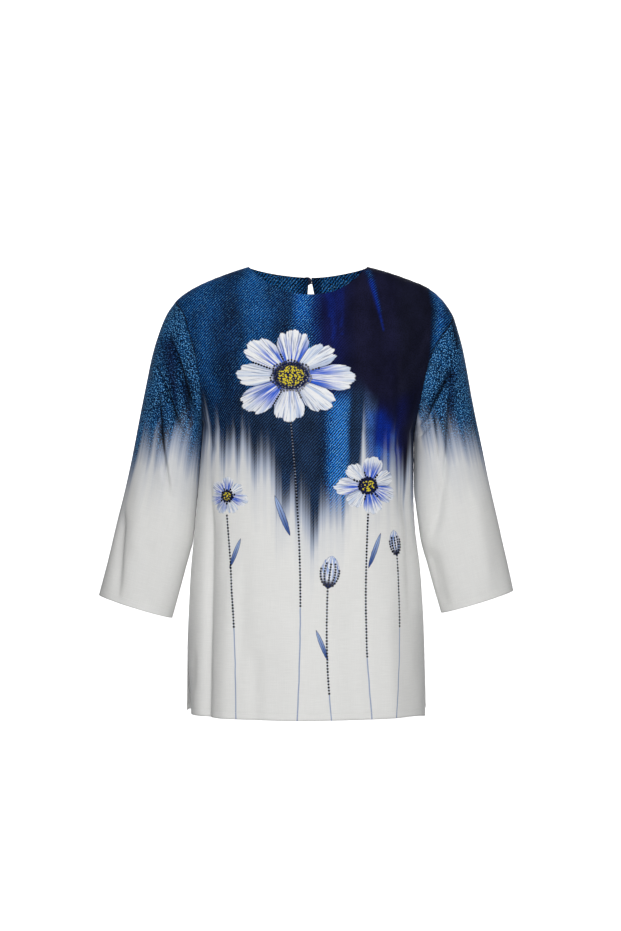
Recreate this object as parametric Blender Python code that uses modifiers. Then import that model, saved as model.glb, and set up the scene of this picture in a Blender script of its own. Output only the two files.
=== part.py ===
"""A woven blouse, standing out as it is worn: wide round neck, dropped shoulders, three-quarter
sleeves, slits at the sides and a keyhole with button and loop at the back of the neck.

Measures are in millimetres. A drop is a height measured down from the neck points, where the
shoulder seams meet the neckline. +X is the wearer's left, -Y is the front and +Z is up.
The origin lies midway between the shoulders, at the height where they carry the blouse.
"""
import math
from collections import namedtuple

import bmesh
import bpy
import numpy as np
from mathutils import Matrix, Vector

MM = 0.001

# Driving sizes
WALL = 1.2                 # cloth thickness
SEAM_GAP = 0.3             # space between two pieces at a seam
RIDGE_GAP = 0.7            # space on top of the shoulder seam; inside, the walls lean together
ORIGIN_DROP = 25.0         # the shoulders carry the blouse this far below the neck points
LENGTH = 700.0             # neck point to hem
NECK_HALF = 94.0           # centre line to neck point
NECK_CENTRE = 4.0          # the lowest point of the neckline sits this far to the wearer's left
FRONT_NECK_DROP = 48.5
BACK_NECK_DROP = 12.0
FRONT_NECK_POWER = 2.4     # a higher power makes the neckline squarer
BACK_NECK_POWER = 1.7
ARMHOLE_DEPTH = 60.0       # from the shoulder line to the foremost point of the armhole
SLIT_TOP = 590.0           # drop at which the side seams end
SLIT_OPEN = 5.0            # each panel edge turns away from the side line by this at the hem
SECTION_POWER = 2.3        # a level section through the body is an ellipse a little squared
BOW_SHARE = 0.45           # share of the sleeve along which it takes up the armhole's bow

# Number of faces along each piece
NECK_COLUMNS = 6           # centre line to neck point
SHOULDER_COLUMNS = 9       # neck point to shoulder end
UPPER_ROWS = 16            # top edge to underarm
LOWER_ROWS = 17            # underarm to hem
SLEEVE_ROWS = 19

LEFT, RIGHT = 0, 1         # sides of the piece in front view: LEFT is at -X
SIDES = (-1.0, 1.0)

ShoulderPoint = namedtuple("ShoulderPoint", "drop left right")
SHOULDER_LINE = (
    ShoulderPoint(0.0, 94.0, 94.0),
    ShoulderPoint(4.7, 109.0, 112.0),
    ShoulderPoint(14.2, 136.0, 142.0),
    ShoulderPoint(20.5, 152.0, 159.0),
    ShoulderPoint(30.0, 173.0, 183.0),
    ShoulderPoint(36.3, 184.5, 193.5),
    ShoulderPoint(45.7, 198.5, 205.0),
    ShoulderPoint(55.0, 209.0, 214.0),
    ShoulderPoint(67.0, 219.0, 222.5),
    ShoulderPoint(78.0, 225.0, 229.0),
)
SHOULDER_END = (55.0, 78.0)    # drop of the shoulder end, left and right
UNDERARM = (249.0, 260.0)      # drop of the underarm point, left and right

# Half widths of the armhole seam at shares of its height
ArmholePoint = namedtuple("ArmholePoint", "share left right")
ARMHOLE = (
    ArmholePoint(0.00, 209.0, 229.0),
    ArmholePoint(0.05, 201.5, 225.5),
    ArmholePoint(0.12, 193.0, 217.0),
    ArmholePoint(0.22, 187.0, 203.0),
    ArmholePoint(0.38, 178.0, 189.0),
    ArmholePoint(0.52, 172.0, 182.0),
    ArmholePoint(0.70, 167.0, 175.5),
    ArmholePoint(0.85, 165.0, 170.5),
    ArmholePoint(1.00, 165.5, 167.0),
)

# Half widths of the body below the arms
SidePoint = namedtuple("SidePoint", "drop left right")
SIDE_LINE = (
    SidePoint(235.0, 165.5, 168.0),
    SidePoint(249.0, 165.5, 167.5),
    SidePoint(260.0, 166.0, 167.0),
    SidePoint(300.0, 169.0, 166.5),
    SidePoint(340.0, 172.0, 166.0),
    SidePoint(380.0, 175.0, 166.6),
    SidePoint(420.0, 179.0, 169.5),
    SidePoint(475.0, 184.0, 176.5),
    SidePoint(525.0, 187.0, 180.0),
    SidePoint(620.0, 190.5, 184.0),
    SidePoint(710.0, 192.0, 187.0),
)

# Depths of the body on its centre line
ProfilePoint = namedtuple("ProfilePoint", "drop front back")
PROFILE = (
    ProfilePoint(-10.0, 16.0, 20.0),
    ProfilePoint(0.0, 32.0, 38.0),
    ProfilePoint(12.0, 45.0, 53.0),
    ProfilePoint(25.0, 55.0, 63.0),
    ProfilePoint(48.0, 67.0, 76.0),
    ProfilePoint(80.0, 83.0, 90.0),
    ProfilePoint(120.0, 98.0, 101.0),
    ProfilePoint(170.0, 111.0, 107.0),
    ProfilePoint(230.0, 118.0, 108.5),
    ProfilePoint(300.0, 120.5, 108.5),
    ProfilePoint(460.0, 124.0, 112.0),
    ProfilePoint(600.0, 126.5, 116.0),
    ProfilePoint(710.0, 128.5, 119.0),
)

# Sleeve sections from the armhole to the cuff: the outer and the inner point of each ring,
# its half depth, and how far its middle hangs forward
Ring = namedtuple("Ring", "outer outer_drop inner inner_drop depth forward")
NumberedRing = namedtuple("NumberedRing", ("number",) + Ring._fields)
SLEEVE_LEFT = (
    Ring(209.0, 55.0, 165.5, 249.0, 60.0, 0.0),
    Ring(223.0, 76.0, 167.7, 272.0, 60.0, 0.5),
    Ring(234.5, 103.0, 169.7, 296.0, 60.0, 1.0),
    Ring(246.0, 141.0, 171.6, 322.0, 59.0, 2.0),
    Ring(257.0, 195.0, 174.3, 357.0, 57.0, 3.0),
    Ring(270.0, 268.0, 177.9, 398.0, 54.0, 5.0),
    Ring(284.0, 336.0, 182.2, 436.0, 51.0, 7.0),
    Ring(300.0, 399.0, 192.0, 474.0, 49.0, 9.0),
    Ring(314.0, 459.0, 202.0, 512.0, 47.0, 11.0),
    Ring(328.0, 516.0, 213.0, 552.0, 45.0, 12.0),
)
SLEEVE_RIGHT = (
    Ring(229.0, 78.0, 167.0, 260.0, 60.0, 0.0),
    Ring(236.0, 100.0, 167.9, 282.0, 60.0, 0.5),
    Ring(243.0, 127.0, 167.6, 306.0, 60.0, 1.0),
    Ring(250.0, 162.0, 167.4, 332.0, 59.0, 2.0),
    Ring(258.0, 207.0, 168.0, 360.0, 57.0, 3.0),
    Ring(270.0, 268.0, 172.5, 397.0, 54.0, 5.0),
    Ring(283.0, 330.0, 178.0, 434.0, 51.0, 7.0),
    Ring(297.0, 392.0, 187.5, 468.0, 49.0, 9.0),
    Ring(310.0, 452.0, 198.0, 506.0, 47.0, 11.0),
    Ring(322.0, 509.0, 209.0, 544.0, 45.0, 12.0),
)

# Folds, each a soft trough (depth > 0) or ridge (depth < 0) along a straight line in front view
Fold = namedtuple("Fold", "x0 drop0 x1 drop1 width depth")
FRONT_FOLDS = (
    Fold(-146.0, 340.0, -158.0, 715.0, 11.0, 6.0),
    Fold(-118.0, 450.0, -128.0, 715.0, 14.0, -3.5),
    Fold(-82.0, 580.0, -80.0, 715.0, 12.0, 3.0),
    Fold(-30.0, 520.0, -26.0, 715.0, 20.0, -2.5),
    Fold(62.0, 470.0, 70.0, 715.0, 18.0, 2.5),
    Fold(140.0, 205.0, 152.0, 420.0, 11.0, 4.0),
    Fold(120.0, 500.0, 132.0, 715.0, 15.0, -3.0),
    Fold(214.0, 66.0, 198.0, 104.0, 9.0, 4.0),
    Fold(-178.0, 150.0, -120.0, 212.0, 12.0, 3.5),
)
BACK_FOLDS = (
    Fold(-64.0, 190.0, -78.0, 715.0, 16.0, 5.0),
    Fold(-112.0, 330.0, -124.0, 715.0, 14.0, -4.0),
    Fold(-150.0, 300.0, -156.0, 715.0, 11.0, 5.0),
    Fold(-14.0, 260.0, -10.0, 715.0, 20.0, -4.0),
    Fold(48.0, 220.0, 62.0, 715.0, 15.0, 5.0),
    Fold(96.0, 380.0, 108.0, 715.0, 14.0, -3.5),
    Fold(142.0, 240.0, 150.0, 715.0, 11.0, 5.0),
    Fold(-172.0, 150.0, -120.0, 205.0, 12.0, 4.0),
    Fold(178.0, 155.0, 126.0, 212.0, 12.0, 4.0),
)
SLEEVE_FRONT_FOLDS = (
    (
        Fold(-214.0, 118.0, -173.0, 236.0, 10.0, 7.0),
        Fold(-230.0, 176.0, -190.0, 262.0, 9.0, 5.0),
        Fold(-236.0, 232.0, -214.0, 360.0, 13.0, -4.0),
        Fold(-291.0, 372.0, -299.0, 535.0, 11.0, 4.5),
        Fold(-238.0, 420.0, -252.0, 550.0, 14.0, 3.0),
    ),
    (
        Fold(206.0, 206.0, 176.0, 250.0, 9.0, 5.5),
        Fold(219.0, 222.0, 196.0, 430.0, 12.0, 5.5),
        Fold(192.0, 436.0, 214.0, 545.0, 10.0, 4.5),
        Fold(258.0, 330.0, 282.0, 530.0, 14.0, -3.5),
    ),
)
SLEEVE_BACK_FOLDS = (
    (
        Fold(-212.0, 130.0, -176.0, 240.0, 10.0, 6.0),
        Fold(-240.0, 240.0, -214.0, 400.0, 13.0, 5.0),
        Fold(-278.0, 380.0, -286.0, 540.0, 13.0, -4.0),
        Fold(-236.0, 430.0, -246.0, 550.0, 12.0, 4.5),
    ),
    (
        Fold(214.0, 140.0, 178.0, 246.0, 10.0, 6.0),
        Fold(236.0, 240.0, 206.0, 410.0, 13.0, 5.0),
        Fold(272.0, 380.0, 284.0, 535.0, 13.0, -4.0),
        Fold(226.0, 420.0, 240.0, 545.0, 12.0, 4.5),
    ),
)
FOLD_TAPER = 0.25          # share of a fold's length over which it fades at each end
SEAM_FADE = 26.0           # folds fade out within this distance of a seam

# Keyhole: an open slot at the neck edge that widens into a drop shape
KEYHOLE_CENTRE = 2.8
KEYHOLE_TOP_HALF = 2.6
KEYHOLE_LENGTH = 72.0
KEYHOLE_BELLY_HALF = 9.0
KEYHOLE_BELLY_SHARE = 0.78  # share of the length at which it is widest
KEYHOLE_LEAN = 0.07         # sideways run for each millimetre down
KEYHOLE_STEPS = 9

SEAT_GAP = 0.4             # space under the button's shank and the loop
SHANK_INSET = 0.2          # the shank stands this far from the slot's edge
BUTTON_RADIUS = 7.5
BUTTON_THICK = 2.6
SHANK_RADIUS = 1.5
SHANK_LENGTH = 2.6
LOOP_CORD = 1.1            # radius of the loop's cord
LOOP_FOOT = 9.0            # length of loop sewn down beside the slot
FASTENING_DROP = 19.0      # height of button and loop

NAVY = (0.006, 0.010, 0.055, 1.0)
DENIM = (0.035, 0.085, 0.190, 1.0)


def smooth_table(rows, key, column, at):
    """Read a table's column at the given keys, along a smooth curve through its rows."""
    keys = np.array([getattr(row, key) for row in rows], float)
    values = np.array([getattr(row, column) for row in rows], float)
    slopes = np.gradient(values, keys)
    at = np.clip(np.asarray(at, float), keys[0], keys[-1])
    i = np.clip(np.searchsorted(keys, at) - 1, 0, len(keys) - 2)
    step = keys[i + 1] - keys[i]
    u = (at - keys[i]) / step
    start = values[i] * (1 + 2 * u) * (1 - u) ** 2 + values[i + 1] * u * u * (3 - 2 * u)
    return start + step * (slopes[i] * u * (1 - u) ** 2 - slopes[i + 1] * u * u * (1 - u))


def smoothstep(value):
    """0 below 0, 1 above 1 and an S-curve between."""
    value = np.clip(value, 0.0, 1.0)
    return value * value * (3 - 2 * value)


def side_name(side):
    return "left" if side == LEFT else "right"


def profile_depth(face, drop):
    return smooth_table(PROFILE, "drop", face, drop)


def armhole_point(side, share):
    """Half width and depth of the armhole seam at a share of its height."""
    width = smooth_table(ARMHOLE, "share", side_name(side), share)
    depth = ARMHOLE_DEPTH * 2 * np.sqrt(np.clip(share * (1 - share), 0.0, None))
    return width, depth


def armhole_share(side, drop):
    return np.clip((drop - SHOULDER_END[side]) / (UNDERARM[side] - SHOULDER_END[side]), 0.0, 1.0)


def section_half_width(side, face, drop):
    """Half width of the level section whose surface runs through the armhole seam."""
    shoulder = smooth_table(SHOULDER_LINE, "drop", side_name(side), drop)
    below = smooth_table(SIDE_LINE, "drop", side_name(side), drop)
    width, depth = armhole_point(side, armhole_share(side, drop))
    inward = np.clip(depth / profile_depth(face, drop), 0.0, 0.95) ** SECTION_POWER
    through_armhole = width / (1 - inward) ** (1 / SECTION_POWER)
    half = np.where(drop < SHOULDER_END[side], shoulder, through_armhole)
    return np.where(drop > UNDERARM[side], below, half)


def section_depth(side, face, x, drop):
    """Distance of the cloth from the plane of the shoulder and side seams."""
    reach = np.clip(np.abs(x) / section_half_width(side, face, drop), 0.0, 1.0)
    return profile_depth(face, drop) * (1 - reach ** SECTION_POWER) ** (1 / SECTION_POWER)


def top_edge_drop(side, face, x):
    """Drop of a panel's top edge: the neckline, and beyond the neck point the shoulder seam."""
    if abs(x) >= NECK_HALF:
        drops = np.linspace(0.0, SHOULDER_END[side], 400)
        widths = smooth_table(SHOULDER_LINE, "drop", side_name(side), drops)
        return float(np.interp(abs(x), widths, drops))
    lowest = FRONT_NECK_DROP if face == "front" else BACK_NECK_DROP
    power = FRONT_NECK_POWER if face == "front" else BACK_NECK_POWER
    reach = (x - NECK_CENTRE) / (math.copysign(NECK_HALF, x) - NECK_CENTRE)
    return lowest * (1 - abs(reach) ** power)


def panel_columns():
    """For each column its side, its x at the top edge and its angle round the body."""
    per_side = NECK_COLUMNS + SHOULDER_COLUMNS
    columns = []
    for j in range(-per_side, per_side + 1):
        side = LEFT if j < 0 else RIGHT
        end = float(armhole_point(side, 0.0)[0])
        out = abs(j) - NECK_COLUMNS
        x = NECK_HALF * math.sin(math.pi / 2 * min(1.0, abs(j) / NECK_COLUMNS))
        if out > 0:
            x = NECK_HALF + (end - NECK_HALF) * out / SHOULDER_COLUMNS
        columns.append((side, math.copysign(x, j), math.pi / 2 * j / per_side))
    return columns


def even_rows(points, count):
    """Resample a line of points to count + 1 points an equal distance apart."""
    lengths = np.linalg.norm(np.diff(points, axis=0), axis=1)
    along = np.concatenate(([0.0], np.cumsum(lengths)))
    wanted = np.linspace(0.0, along[-1], count + 1)
    return np.stack([np.interp(wanted, along, points[:, k]) for k in range(3)], axis=1)


def upper_line(face, side, x_top, angle, underarm):
    """One column from the top edge down to the level of the underarm."""
    top = top_edge_drop(side, face, x_top)
    drop = top + (underarm - top) * (1 - np.cos(np.linspace(0.0, math.pi, 600))) / 2
    share = armhole_share(side, drop)
    end = float(armhole_point(side, 0.0)[0])
    blend = smoothstep(share)
    across = (1 - blend) * x_top / end + blend * math.sin(angle)
    x = across * armhole_point(side, share)[0]
    depth = section_depth(side, face, x, drop)
    if abs(x_top) >= end:
        depth = armhole_point(side, share)[1]
    return np.stack([x, depth, drop], axis=1)


def lower_line(face, side, angle, underarm):
    """One column from the level of the underarm down to the hem, opened along the slit."""
    hem = LENGTH
    if side == RIGHT:
        corner = smoothstep((abs(angle) - 1.0) / (math.pi / 2 - 1.0))
        hem += (5.0 if face == "front" else -5.0) * corner
    drop = np.linspace(underarm, hem, LOWER_ROWS + 1)
    opening = smoothstep((drop - SLIT_TOP) / (hem - SLIT_TOP))
    near_edge = smoothstep((abs(angle) - 1.1) / (math.pi / 2 - 1.1))
    half = smooth_table(SIDE_LINE, "drop", side_name(side), drop)
    x = half * abs(math.sin(angle))
    depth = profile_depth(face, drop) * abs(math.cos(angle)) ** (2 / SECTION_POWER)
    if face == "front":
        inset = 9.0 if side == LEFT else 2.5
        x = x - inset * opening * near_edge
    depth = depth + SLIT_OPEN * opening * near_edge
    return np.stack([SIDES[side] * x, depth, drop], axis=1)


def fold_offset(x, drop, folds):
    """Depth of all the folds at points seen in front view."""
    offset = np.zeros_like(x)
    for fold in folds:
        run = np.array([fold.x1 - fold.x0, fold.drop1 - fold.drop0])
        length = np.hypot(*run)
        along = ((x - fold.x0) * run[0] + (drop - fold.drop0) * run[1]) / length ** 2
        aside = ((x - fold.x0) * run[1] - (drop - fold.drop0) * run[0]) / length
        ends = smoothstep(along / FOLD_TAPER) * smoothstep((1 - along) / FOLD_TAPER)
        past_hem = (fold.drop1 > LENGTH) & (along > 0.5)
        ends = np.where(past_hem, 1.0, ends)
        offset += fold.depth * ends * np.exp(-(aside / fold.width) ** 2)
    return offset


def grid_normals(grid, wraps):
    """Unit normals of a grid of points, rows by columns."""
    padded = np.concatenate([grid[:, -1:], grid, grid[:, :1]], axis=1) if wraps else grid
    down = np.gradient(padded, axis=0)
    across = np.gradient(padded, axis=1)
    normal = np.cross(across, down)
    normal /= np.maximum(np.linalg.norm(normal, axis=2, keepdims=True), 1e-9)
    return normal[:, 1:-1] if wraps else normal


def to_world(grid):
    """Points as x, y, drop in millimetres to metres with +Z up."""
    world = grid.copy()
    world[..., 2] = ORIGIN_DROP - grid[..., 2]
    return world * MM


def panel_grid(face):
    """Points of the front or back panel's outer face, rows from top to hem."""
    sign = -1.0 if face == "front" else 1.0
    columns = panel_columns()
    middle = (UNDERARM[LEFT] + UNDERARM[RIGHT]) / 2
    spread = (UNDERARM[RIGHT] - UNDERARM[LEFT]) / 2
    lines = []
    for side, x_top, angle in columns:
        underarm = middle + spread * math.sin(angle)
        upper = even_rows(upper_line(face, side, x_top, angle, underarm), UPPER_ROWS)
        lower = lower_line(face, side, angle, underarm)
        lines.append(np.concatenate([upper, lower[1:]]))
    grid = np.stack(lines, axis=1)
    on_shoulder = np.array([abs(x_top) >= NECK_HALF for _, x_top, _ in columns])
    grid[0, on_shoulder, 1] = RIDGE_GAP / 2
    grid[..., 1] = sign * np.maximum(grid[..., 1], SEAM_GAP / 2)
    return grid


def seam_fade(grid):
    """0 on a panel's side and top edges and 1 away from them; the hem stays free."""
    to_side = np.minimum(
        np.linalg.norm(grid - grid[:, :1], axis=2), np.linalg.norm(grid - grid[:, -1:], axis=2))
    to_top = np.linalg.norm(grid - grid[:1], axis=2)
    return smoothstep(to_side / SEAM_FADE) * smoothstep(to_top / SEAM_FADE)


def folded_panel(face):
    grid = panel_grid(face)
    folds = FRONT_FOLDS if face == "front" else BACK_FOLDS
    offset = fold_offset(grid[..., 0], grid[..., 2], folds) * seam_fade(grid)
    outward = grid_normals(grid, False)
    outward *= np.sign(outward[..., 1:2] * grid[..., 1:2])
    return grid - outward * offset[..., None]


def armhole_ring(side, panels):
    """The armhole seam as a closed ring: down the front, then up the back."""
    column = 0 if side == LEFT else -1
    front = panels["front"][: UPPER_ROWS + 1, column].copy()
    back = panels["back"][: UPPER_ROWS + 1, column].copy()
    front[[0, -1], 1] = 0.0
    return np.concatenate([front, back[-2:0:-1]])


def sleeve_grid(side, panels):
    """Points of a sleeve's outer face, a ring for each row from the armhole to the cuff."""
    rings = SLEEVE_LEFT if side == LEFT else SLEEVE_RIGHT
    sign = SIDES[side]
    numbered = [NumberedRing(i, *ring) for i, ring in enumerate(rings)]
    seam = armhole_ring(side, panels)
    share = (seam[:, 2] - SHOULDER_END[side]) / (UNDERARM[side] - SHOULDER_END[side])
    half_turn = np.arccos(np.clip(1 - 2 * share, -1.0, 1.0))
    seam_angle = np.where(np.arange(len(seam)) <= UPPER_ROWS, half_turn, 2 * math.pi - half_turn)
    even_angle = np.linspace(0.0, 2 * math.pi, len(seam), endpoint=False)
    rows = []
    for row in range(SLEEVE_ROWS + 1):
        share_down = row / SLEEVE_ROWS
        at = share_down * (len(rings) - 1)
        read = {name: float(smooth_table(numbered, "number", name, at)) for name in Ring._fields}
        angle = seam_angle + (even_angle - seam_angle) * smoothstep(share_down * 1.4)
        inward = (1 - np.cos(angle)) / 2
        x = sign * (read["outer"] + (read["inner"] - read["outer"]) * inward)
        drop = read["outer_drop"] + (read["inner_drop"] - read["outer_drop"]) * inward
        y = -read["depth"] * np.sin(angle) - read["forward"]
        rows.append(np.stack([x, y, drop], axis=1))
    grid = np.stack(rows)
    bow = seam - grid[0]
    fade = 1 - smoothstep(np.arange(SLEEVE_ROWS + 1) / SLEEVE_ROWS / BOW_SHARE)
    grid += bow[None] * fade[:, None, None]
    step = grid[1] - grid[0]
    grid[0] += SEAM_GAP * step / np.linalg.norm(step, axis=1, keepdims=True)
    return grid


def folded_sleeve(side, panels):
    grid = sleeve_grid(side, panels)
    front = fold_offset(grid[..., 0], grid[..., 2], SLEEVE_FRONT_FOLDS[side])
    back = fold_offset(grid[..., 0], grid[..., 2], SLEEVE_BACK_FOLDS[side])
    middle = grid.mean(axis=1, keepdims=True)
    facing = (grid[..., 1] - middle[..., 1]) / 30.0
    offset = np.where(facing < 0, front, back) * smoothstep(np.abs(facing))
    offset *= smoothstep(np.linalg.norm(grid - grid[:1], axis=2) / SEAM_FADE)
    outward = grid_normals(grid, True)
    away = np.sum(outward * (grid - middle), axis=2, keepdims=True)
    outward *= np.sign(away)
    return grid - outward * offset[..., None]


def material(name, colour, roughness):
    finish = bpy.data.materials.new(name)
    finish.use_nodes = True
    shader = finish.node_tree.nodes["Principled BSDF"]
    shader.inputs["Base Color"].default_value = colour
    shader.inputs["Roughness"].default_value = roughness
    shader.inputs["Metallic"].default_value = 0.0
    return finish


def cloth_piece(name, grid, wraps, finish, collection):
    """A grid of points as an open surface with its faces outward, thickened inward."""
    rows, columns = grid.shape[:2]
    index = np.arange(rows * columns).reshape(rows, columns)
    if wraps:
        index = np.concatenate([index, index[:, :1]], axis=1)
    quads = np.stack([index[:-1, :-1], index[1:, :-1], index[1:, 1:], index[:-1, 1:]], axis=-1)
    mesh = bpy.data.meshes.new(name)
    mesh.from_pydata(to_world(grid).reshape(-1, 3).tolist(), [], quads.reshape(-1, 4).tolist())
    middle = Vector(to_world(grid).reshape(-1, 3).mean(axis=0))
    if not wraps:
        middle.y = 0.0
    else:
        middle = Vector(to_world(grid)[rows // 2].mean(axis=0))
    mesh.update()
    probe = mesh.polygons[(rows // 2) * (quads.shape[1]) + quads.shape[1] // 2]
    if probe.normal.dot(probe.center - middle) < 0:
        mesh.flip_normals()
    mesh.materials.append(finish)
    mesh.shade_smooth()
    piece = bpy.data.objects.new(name, mesh)
    collection.objects.link(piece)
    wall = piece.modifiers.new("wall", "SOLIDIFY")
    wall.thickness = WALL * MM
    wall.offset = -1.0
    return piece


def keyhole_outline():
    """Left and right edge of the keyhole, top to bottom, as x and drop."""
    share = np.linspace(0.0, 1.0, KEYHOLE_STEPS + 1)
    drop = BACK_NECK_DROP + KEYHOLE_LENGTH * share
    belly = KEYHOLE_BELLY_SHARE
    rising = KEYHOLE_TOP_HALF + (KEYHOLE_BELLY_HALF - KEYHOLE_TOP_HALF) * smoothstep(share / belly)
    closing = np.sqrt(np.clip(1 - ((share - belly) / (1 - belly)) ** 2, 0.0, None))
    half = np.where(share < belly, rising, KEYHOLE_BELLY_HALF * closing)
    centre = KEYHOLE_CENTRE + KEYHOLE_LEAN * KEYHOLE_LENGTH * share
    left = list(zip(centre - half, drop))
    right = list(zip(centre + half, drop))
    above = BACK_NECK_DROP - 15.0
    outline = [(KEYHOLE_CENTRE - KEYHOLE_TOP_HALF, above)] + left[:-1]
    outline += [(float(centre[-1]), float(drop[-1]))]
    return outline + right[-2::-1] + [(KEYHOLE_CENTRE + KEYHOLE_TOP_HALF, above)]


def keyhole_cutter(collection):
    mesh = bpy.data.meshes.new("keyhole_cutter")
    shape = bmesh.new()
    near, far = 30.0, 140.0
    corners = [shape.verts.new((x * MM, near * MM, (ORIGIN_DROP - d) * MM)) for x, d in keyhole_outline()]
    face = shape.faces.new(corners)
    grown = bmesh.ops.extrude_face_region(shape, geom=[face])
    moved = [v for v in grown["geom"] if isinstance(v, bmesh.types.BMVert)]
    bmesh.ops.translate(shape, verts=moved, vec=(0.0, (far - near) * MM, 0.0))
    bmesh.ops.recalc_face_normals(shape, faces=shape.faces)
    shape.to_mesh(mesh)
    shape.free()
    cutter = bpy.data.objects.new("keyhole_cutter", mesh)
    cutter.hide_render = True
    cutter.display_type = "WIRE"
    collection.objects.link(cutter)
    return cutter


def fastening_frame():
    """Place on the back panel's outer face, at the slot: the axis leads straight out of the cloth."""
    rise = 4.0
    low = float(profile_depth("back", FASTENING_DROP + rise))
    high = float(profile_depth("back", FASTENING_DROP - rise))
    centre = Vector((0.0, float(profile_depth("back", FASTENING_DROP)), ORIGIN_DROP - FASTENING_DROP))
    up = Vector((0.0, high - low, 2 * rise)).normalized()
    across = Vector((1.0, 0.0, 0.0))
    out = up.cross(across) * -1.0
    if out.y < 0:
        out.negate()
    frame = Matrix((across, out.cross(across), out)).transposed().to_4x4()
    frame.translation = centre * MM
    return frame


def shank_x():
    """Where the button's shank stands, beside the slot."""
    return KEYHOLE_CENTRE - KEYHOLE_TOP_HALF - SHANK_RADIUS - SHANK_INSET


def keyhole_button(finish, collection):
    """A domed button on a shank, a turned profile."""
    head = SEAT_GAP + SHANK_LENGTH
    profile = [
        (0.0, SEAT_GAP), (SHANK_RADIUS, SEAT_GAP), (SHANK_RADIUS, head), (BUTTON_RADIUS - 0.5, head),
        (BUTTON_RADIUS, head + 0.5), (BUTTON_RADIUS, head + 1.2),
        (BUTTON_RADIUS * 0.8, head + BUTTON_THICK * 0.85), (0.0, head + BUTTON_THICK),
    ]
    mesh = bpy.data.meshes.new("keyhole_button")
    points = [(radius * MM, 0.0, height * MM) for radius, height in reversed(profile)]
    mesh.from_pydata(points, [(i, i + 1) for i in range(len(points) - 1)], [])
    mesh.materials.append(finish)
    button = bpy.data.objects.new("keyhole_button", mesh)
    collection.objects.link(button)
    turn = button.modifiers.new("turn", "SCREW")
    turn.steps = turn.render_steps = 20
    turn.use_merge_vertices = True
    turn.merge_threshold = 0.00001
    button.matrix_world = fastening_frame() @ Matrix.Translation((shank_x() * MM, 0.0, 0.0))
    return button


def keyhole_loop(finish, collection):
    """A cord sewn down beside the slot that runs round the button's shank and back."""
    foot = KEYHOLE_CENTRE + KEYHOLE_TOP_HALF + LOOP_FOOT
    half = SHANK_RADIUS + LOOP_CORD + SEAT_GAP
    height = LOOP_CORD + SEAT_GAP
    turn = [
        (shank_x() - half * math.cos(a), half * math.sin(a))
        for a in np.linspace(-math.pi / 2, math.pi / 2, 9)
    ]
    route = [(foot, -half)] + turn + [(foot, half)]
    curve = bpy.data.curves.new("keyhole_loop", "CURVE")
    curve.dimensions = "3D"
    curve.bevel_depth = LOOP_CORD * MM
    curve.bevel_resolution = 2
    curve.use_fill_caps = True
    spline = curve.splines.new("POLY")
    spline.points.add(len(route) - 1)
    for point, (x, up) in zip(spline.points, route):
        point.co = (x * MM, up * MM, height * MM, 1.0)
    curve.materials.append(finish)
    loop = bpy.data.objects.new("keyhole_loop", curve)
    collection.objects.link(loop)
    loop.matrix_world = fastening_frame()
    return loop


def build():
    for old in list(bpy.data.objects):
        bpy.data.objects.remove(old, do_unlink=True)
    blouse = bpy.data.collections.new("blouse")
    cutters = bpy.data.collections.new("cutters")
    bpy.context.scene.collection.children.link(blouse)
    bpy.context.scene.collection.children.link(cutters)
    cloth = material("printed_cloth", DENIM, 0.75)
    dark = material("dark_trim", NAVY, 0.45)

    panels = {face: panel_grid(face) for face in ("front", "back")}
    cloth_piece("front_panel", folded_panel("front"), False, cloth, blouse)
    back = cloth_piece("back_panel", folded_panel("back"), False, cloth, blouse)
    slot = back.modifiers.new("keyhole", "BOOLEAN")
    slot.operation = "DIFFERENCE"
    slot.object = keyhole_cutter(cutters)
    for side in (LEFT, RIGHT):
        cloth_piece("sleeve_" + ("right", "left")[side], folded_sleeve(side, panels), True, cloth, blouse)
    keyhole_button(dark, blouse)
    keyhole_loop(dark, blouse)


build()
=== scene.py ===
# Blouse in its worn, hollow form: cloth shells, turned hems, stitches, stones, button and loop.
# Metres with +Z up. Tables are in millimetres, with drop measured down from the neck points.
import math
import bpy
import numpy as np
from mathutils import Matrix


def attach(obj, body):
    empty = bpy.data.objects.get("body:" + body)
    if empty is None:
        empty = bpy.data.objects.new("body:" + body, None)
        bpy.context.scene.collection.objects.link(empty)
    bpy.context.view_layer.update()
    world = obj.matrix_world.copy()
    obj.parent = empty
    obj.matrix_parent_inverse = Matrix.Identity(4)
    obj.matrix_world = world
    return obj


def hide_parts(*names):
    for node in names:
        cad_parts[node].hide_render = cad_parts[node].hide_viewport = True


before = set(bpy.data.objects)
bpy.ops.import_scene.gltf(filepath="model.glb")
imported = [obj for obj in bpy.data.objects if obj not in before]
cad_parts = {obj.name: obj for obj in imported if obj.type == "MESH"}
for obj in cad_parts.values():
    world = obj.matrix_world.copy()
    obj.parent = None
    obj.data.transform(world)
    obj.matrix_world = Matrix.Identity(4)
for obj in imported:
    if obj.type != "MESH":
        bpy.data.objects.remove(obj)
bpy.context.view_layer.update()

print("blouse: frame loaded,", len(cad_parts), "nodes")

# Sides in front view: left is at -X
leftSide, rightSide = 0, 1
sideSign = (-1.0, 1.0)
sideKey = ("left", "right")


# A table with its columns under their names
def columnsOf(names, rows):
    return dict(zip(names.split(), np.array(rows, float).T))


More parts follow.
